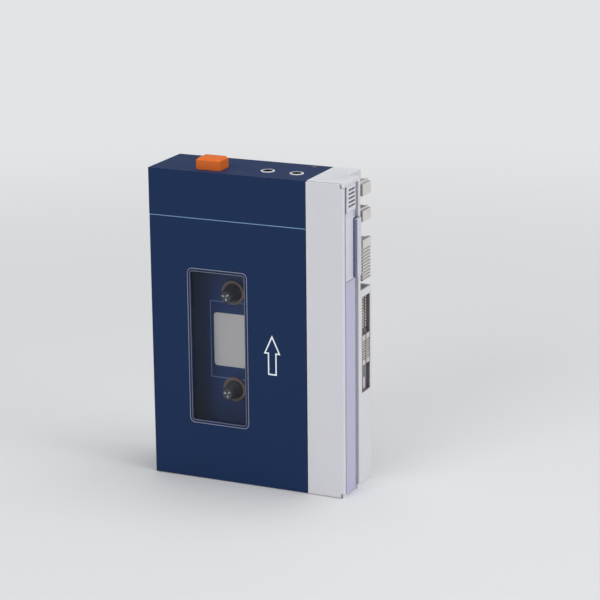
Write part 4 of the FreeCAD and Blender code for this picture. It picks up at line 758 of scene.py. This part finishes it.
# Smoked red-brown lens: dark until the lamp is lit.
lens = moulded("smoked_lens_acrylic", "#33283a", 0.15, 0.8, 0.005)
eased("lamp_lens", 0.0003, lens, "case")

# ---------------------------------------------------------------- control column
# The white ABS column carries everything the hand works. Its front is the battery cover, hinged at
# the right edge; a lavender-painted inset strip runs down the side.

eased("control_housing", 0.0002, white_abs, "case", merged=False)
eased("battery_cover", 0.00025, white_abs, "battery_cover")
# Lavender paint over the strip: cooler and a touch glossier than the column.
lavender_paint = moulded("lavender_satin_paint", "#b9b8d0", 0.4, 0.5, 0.01, cloud=0.03, specular=0.25)
eased("side_strip", 0.00015, lavender_paint, "case")
# The strip's upper length carries a paler plate, bounded by fine dark lines of painted shadow like the painted
# shadow line at its front edge.
STRIP_LOW, STRIP_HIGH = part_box("side_strip")
BAR_LOW, BAR_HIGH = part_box("stop_bar")
GRILLE_LOW, GRILLE_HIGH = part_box("mic_grille")
SIDE_X = STRIP_HIGH.x
LINE = 0.0003
SKIN = 0.00005
EDGE_Y = STRIP_LOW.y + 0.0015
PLATE_BACK = BAR_LOW.y - 0.0007
pale_plate = moulded("pale_lavender_satin_plate", "#d3d2de", 0.4, 0.5, 0.01, cloud=0.02, specular=0.25)
painted_shadow_ink = moulded("charcoal_painted_shadow", "#5a5a66", 0.5, 0.2, 0.01)
# Painted shadow: a dark line along the strip's front edge, where the column's cover shades the recessed strip.
trim(
    "strip_front_painted_shadow",
    (SIDE_X - 0.0001, EDGE_Y, STRIP_LOW.z + 0.0003),
    (SIDE_X + SKIN, EDGE_Y + LINE, STRIP_HIGH.z - 0.0003),
    painted_shadow_ink,
    "case",
    0.00001,
)
trim(
    "strip_upper_plate",
    (SIDE_X - 0.0001, EDGE_Y + LINE, BAR_LOW.z - 0.0002),
    (SIDE_X + SKIN, PLATE_BACK, GRILLE_LOW.z - LINE),
    pale_plate,
    "case",
    0.00001,
)
# Painted shadow: a dark line along the plate's lower end.
trim(
    "strip_plate_end_painted_shadow",
    (SIDE_X - 0.0001, EDGE_Y + LINE, BAR_LOW.z - 0.0002 - LINE),
    (SIDE_X + SKIN, PLATE_BACK, BAR_LOW.z - 0.0002),
    painted_shadow_ink,
    "case",
    0.00001,
)
# Painted shadow: a dark plate behind the grille darkens its slots and outline.
trim(
    "grille_painted_shadow",
    (SIDE_X - 0.0001, GRILLE_LOW.y - LINE, GRILLE_LOW.z - LINE),
    (SIDE_X + SKIN, GRILLE_HIGH.y + LINE, GRILLE_HIGH.z + LINE / 3),
    painted_shadow_ink,
    "case",
    0.00001,
)
# Painted shade: a grey strip darkens the groove behind the strip, where shade falls.
groove_painted_shade = moulded("grey_painted_groove_shade", "#74747e", 0.5, 0.3, 0.01)
GROOVE_X = SIDE_X - 0.0008
for part, low_z, high_z in (
    ("lower", 0.0003, BAR_LOW.z - 0.0004),
    ("upper", BAR_HIGH.z + 0.0004, cad_high.z - 0.0055),
):
    trim(
        "groove_" + part,
        (GROOVE_X - 0.0001, STRIP_HIGH.y + 0.00015, low_z),
        (GROOVE_X + 0.0001, STRIP_HIGH.y + 0.00155, high_z),
        groove_painted_shade,
        "case",
        0.00001,
    )
# The grille is moulded in the same white, and the capsule behind it is black.
eased("mic_grille", 0.00012, white_abs, "case")
on_cad("mic_capsule", black_acetal)

# ---------------------------------------------------------------- keys and stop bar
# Ivory keys stand in a well open to the back, the large play key cross-ribbed, with painted grey shade on the faces
# that turn from the side. The stop bar is white, with painted blue-grey shade on its front face.



def facing_shade_tone(name, faced, rest, way):
    """Moulded plastic with painted light and shade: one colour where it faces a way, another elsewhere."""
    material, tree, out = new_material(name)
    normal = add(tree, "ShaderNodeNewGeometry").outputs["Normal"]
    facing = add(tree, "ShaderNodeVectorMath", {0: normal, 1: way}, operation="DOT_PRODUCT").outputs["Value"]
    # Painted light and shade by facing: the colour follows the face's direction, not the material.
    facing_shade_mask = add(tree, "ShaderNodeMapRange", {"Value": facing, "From Min": 0.6, "From Max": 0.8})
    place = add(tree, "ShaderNodeTexCoord").outputs["Object"]
    grain = add(tree, "ShaderNodeTexNoise", {"Vector": place, "Scale": 1000.0, "Detail": 2.0})
    clouds = add(tree, "ShaderNodeTexNoise", {"Vector": place, "Scale": 60.0, "Detail": 3.0})
    shade = add(
        tree, "ShaderNodeMix", {0: facing_shade_mask.outputs[0], 6: linear(rest), 7: linear(faced)}, data_type="RGBA"
    )
    dull = add(
        tree,
        "ShaderNodeMix",
        {0: clouds.outputs["Fac"], 6: shade.outputs[2], 7: linear("#8b8a8c")},
        data_type="RGBA",
    )
    worn = add(tree, "ShaderNodeMix", {0: 0.08, 6: shade.outputs[2], 7: dull.outputs[2]}, data_type="RGBA")
    gloss = add(tree, "ShaderNodeMapRange", {"Value": clouds.outputs["Fac"], "To Min": 0.38, "To Max": 0.5})
    relief = add(
        tree, "ShaderNodeBump", {"Height": grain.outputs["Fac"], "Distance": 0.00002, "Strength": 0.5}
    )
    surface = add(
        tree,
        "ShaderNodeBsdfPrincipled",
        {
            "Base Color": worn.outputs[2],
            "Roughness": gloss.outputs[0],
            "Normal": relief.outputs[0],
            "Specular IOR Level": 0.3,
        },
    )
    tree.links.new(surface.outputs[0], out.inputs[0])
    return material


# The keys' outer faces are ivory, and their other faces carry a painted grey shade.
key_painted_shade_finish = facing_shade_tone("ivory_acetal_painted_side_shade", "#d2d0ca", "#9b959a", (1, 0, 0))
eased("rewind_key", 0.0004, key_painted_shade_finish, "rewind_key", segments=3)
eased("forward_key", 0.0004, key_painted_shade_finish, "forward_key", segments=3)
eased("play_key", 0.0002, key_painted_shade_finish, "play_key")
for name in ("rewind", "forward", "play"):
    low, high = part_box(name + "_key_spring")
    centre = (low + high) / 2
    coil(
        name + "_key_spring",
        Vector((low.x, centre.y, centre.z)),
        Vector((high.x, centre.y, centre.z)),
        (high.y - low.y) / 2,
        0.0004,
        4,
        "case",
    )
# The bar is white, with painted blue-grey shade where its face turns to the front.
bar_painted_shade_finish = facing_shade_tone("white_bar_painted_front_shade", "#8289aa", "#cfd0d4", (0, -1, 0))
eased("stop_bar", 0.00025, bar_painted_shade_finish, "stop_bar")

# ---------------------------------------------------------------- volume tray
# The sunken tray holds two ribbed slide knobs and, above them, a grey scale with two columns of
# tick marks. The slide resistors sit behind its floor.

# Grey paint covers the tray's floor and the shelf above it; the tray's walls are lined in a darker taupe as painted
# shade of the recess.
SCALE_LOW, SCALE_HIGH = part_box("volume_scale")
KNOB_LOW, KNOB_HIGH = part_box("volume_slider_front")
BACK_KNOB_LOW, BACK_KNOB_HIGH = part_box("volume_slider_back")
TRAY_X = SCALE_LOW.x
TRAY_FRONT, TRAY_BACK = SCALE_LOW.y - 0.0002, SCALE_HIGH.y + 0.0002
TRAY_HIGH = SCALE_HIGH.z + 0.0002
TRAY_LOW = KNOB_LOW.z - 0.0119
CASE_SIDE_X = cad_high.x - 0.001
SHELF_Z = TRAY_HIGH + 0.0031
tray_paint = moulded("grey_matt_tray_paint", "#8e8c92", 0.55, 0.3, 0.01)
# Painted shade: the darker taupe on the tray's walls stands for the shade inside the recess.
tray_wall_painted_shade = moulded("taupe_painted_recess_shade", "#6f6a6e", 0.55, 0.3, 0.01)
LINER_X = CASE_SIDE_X - 0.0003
liners = (
    ("back", (TRAY_X, TRAY_BACK - SKIN, TRAY_LOW), (LINER_X, TRAY_BACK, TRAY_HIGH)),
    ("front", (TRAY_X, TRAY_FRONT, TRAY_LOW), (LINER_X, TRAY_FRONT + SKIN, TRAY_HIGH)),
    ("top", (TRAY_X, TRAY_FRONT, TRAY_HIGH - SKIN), (LINER_X, TRAY_BACK, TRAY_HIGH)),
    ("bottom", (TRAY_X, TRAY_FRONT, TRAY_LOW), (LINER_X, TRAY_BACK, TRAY_LOW + SKIN)),
)
for part, low, high in liners:
    trim("tray_liner_" + part, low, high, tray_wall_painted_shade, "case", 0.00001)
front_y = (KNOB_LOW.y + KNOB_HIGH.y) / 2
back_y = (BACK_KNOB_LOW.y + BACK_KNOB_HIGH.y) / 2
KNOB_HALF = 0.00085
lanes = (
    (TRAY_FRONT, front_y - KNOB_HALF),
    (front_y + KNOB_HALF, back_y - KNOB_HALF),
    (back_y + KNOB_HALF, TRAY_BACK),
)
for part, (low_y, high_y) in zip(("front", "middle", "back"), lanes):
    trim(
        "tray_floor_" + part,
        (TRAY_X - SKIN, low_y, TRAY_LOW),
        (TRAY_X + SKIN, high_y, SCALE_LOW.z),
        tray_paint,
        "case",
        0.00001,
    )
trim(
    "key_well_shelf_paint",
    (CASE_SIDE_X - 0.0045, 0.0030, SHELF_Z - SKIN),
    (CASE_SIDE_X - 0.0004, cad_high.y - 0.0004, SHELF_Z + SKIN),
    tray_paint,
    "case",
    0.00001,
)
# Taupe paint on the scale plate.
scale_paint = moulded("dark_taupe_matt_paint", "#565154", 0.55, 0.3, 0.01)
on_cad("volume_scale", scale_paint)
on_cad("volume_resistors", black_acetal)
pale_ink = moulded("pale_beige_screen_ink", "#c9c5bb", 0.5, 0.2, 0.01)
# The knobs' ribs are ivory, and their grooves and sides carry a painted grey shade.
slider_painted_shade_finish = facing_shade_tone("ivory_ribbed_acetal_painted_shade", "#c9c6bf", "#837e82", (1, 0, 0))
TICK_COUNT = 11
TICK_PITCH = (SCALE_HIGH.z - SCALE_LOW.z - 0.003) / (TICK_COUNT - 1)
for name, node in (("front", "volume_slider_front"), ("back", "volume_slider_back")):
    low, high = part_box(node)
    slider_y = (low.y + high.y) / 2
    for side in (-1, 1):
        repeated(
            f"scale_ticks_{name}_{'left' if side < 0 else 'right'}",
            pale_ink,
            "case",
            size=(0.00008, 0.0011, 0.0008),
            count=TICK_COUNT,
            step=(0, 0, TICK_PITCH),
            start=(SCALE_HIGH.x + 0.00002, slider_y + side * 0.00145, SCALE_LOW.z + 0.0015),
        )
    eased(node, 0.0001, slider_painted_shade_finish, node)

# ---------------------------------------------------------------- battery bay
# Two plain cells stand in line behind the cover, between a flat contact and a conical spring.

# Shrink-sleeved cell: plain dark grey with a paler band near the top end.
sleeve, tree, out = new_material("printed_cell_sleeve")
place = add(tree, "ShaderNodeTexCoord").outputs["Object"]
height = add(tree, "ShaderNodeSeparateXYZ", {0: place}).outputs["Z"]
CELL_LOW, CELL_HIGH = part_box("battery_cells")
CELL_PITCH = (CELL_HIGH.z - CELL_LOW.z) / 2
offset = add(tree, "ShaderNodeMath", {0: height, 1: CELL_LOW.z}, operation="SUBTRACT")
wrapped = add(tree, "ShaderNodeMath", {0: offset.outputs[0], 1: CELL_PITCH}, operation="MODULO")
band = add(tree, "ShaderNodeMath", {0: wrapped.outputs[0], 1: CELL_PITCH * 0.72}, operation="GREATER_THAN")
shade = add(
    tree,
    "ShaderNodeMix",
    {0: band.outputs[0], 6: linear("#3b3d42"), 7: linear("#b9903f")},
    data_type="RGBA",
)
fuzz = add(tree, "ShaderNodeTexNoise", {"Vector": place, "Scale": 700.0})
gloss = add(tree, "ShaderNodeMapRange", {"Value": fuzz.outputs["Fac"], "To Min": 0.22, "To Max": 0.34})
surface = add(
    tree,
    "ShaderNodeBsdfPrincipled",
    {"Base Color": shade.outputs[2], "Roughness": gloss.outputs[0], "Metallic": 0.3},
)
tree.links.new(surface.outputs[0], out.inputs[0])
on_cad("battery_cells", sleeve)
on_cad("battery_contacts", zinc_plate)
on_cad("battery_spring", spring_steel)

# ---------------------------------------------------------------- circuit board
# Green solder-masked board behind the drive, with its capacitors and flat chips.

# Solder mask over epoxy: deep green, glossy, faintly mottled by the tracks under it.
solder_mask = moulded("green_solder_mask", "#1f5b37", 0.3, 2.0, 0.03, cloud=0.2)
on_cad("circuit_board", solder_mask)
on_cad("board_components", black_acetal)
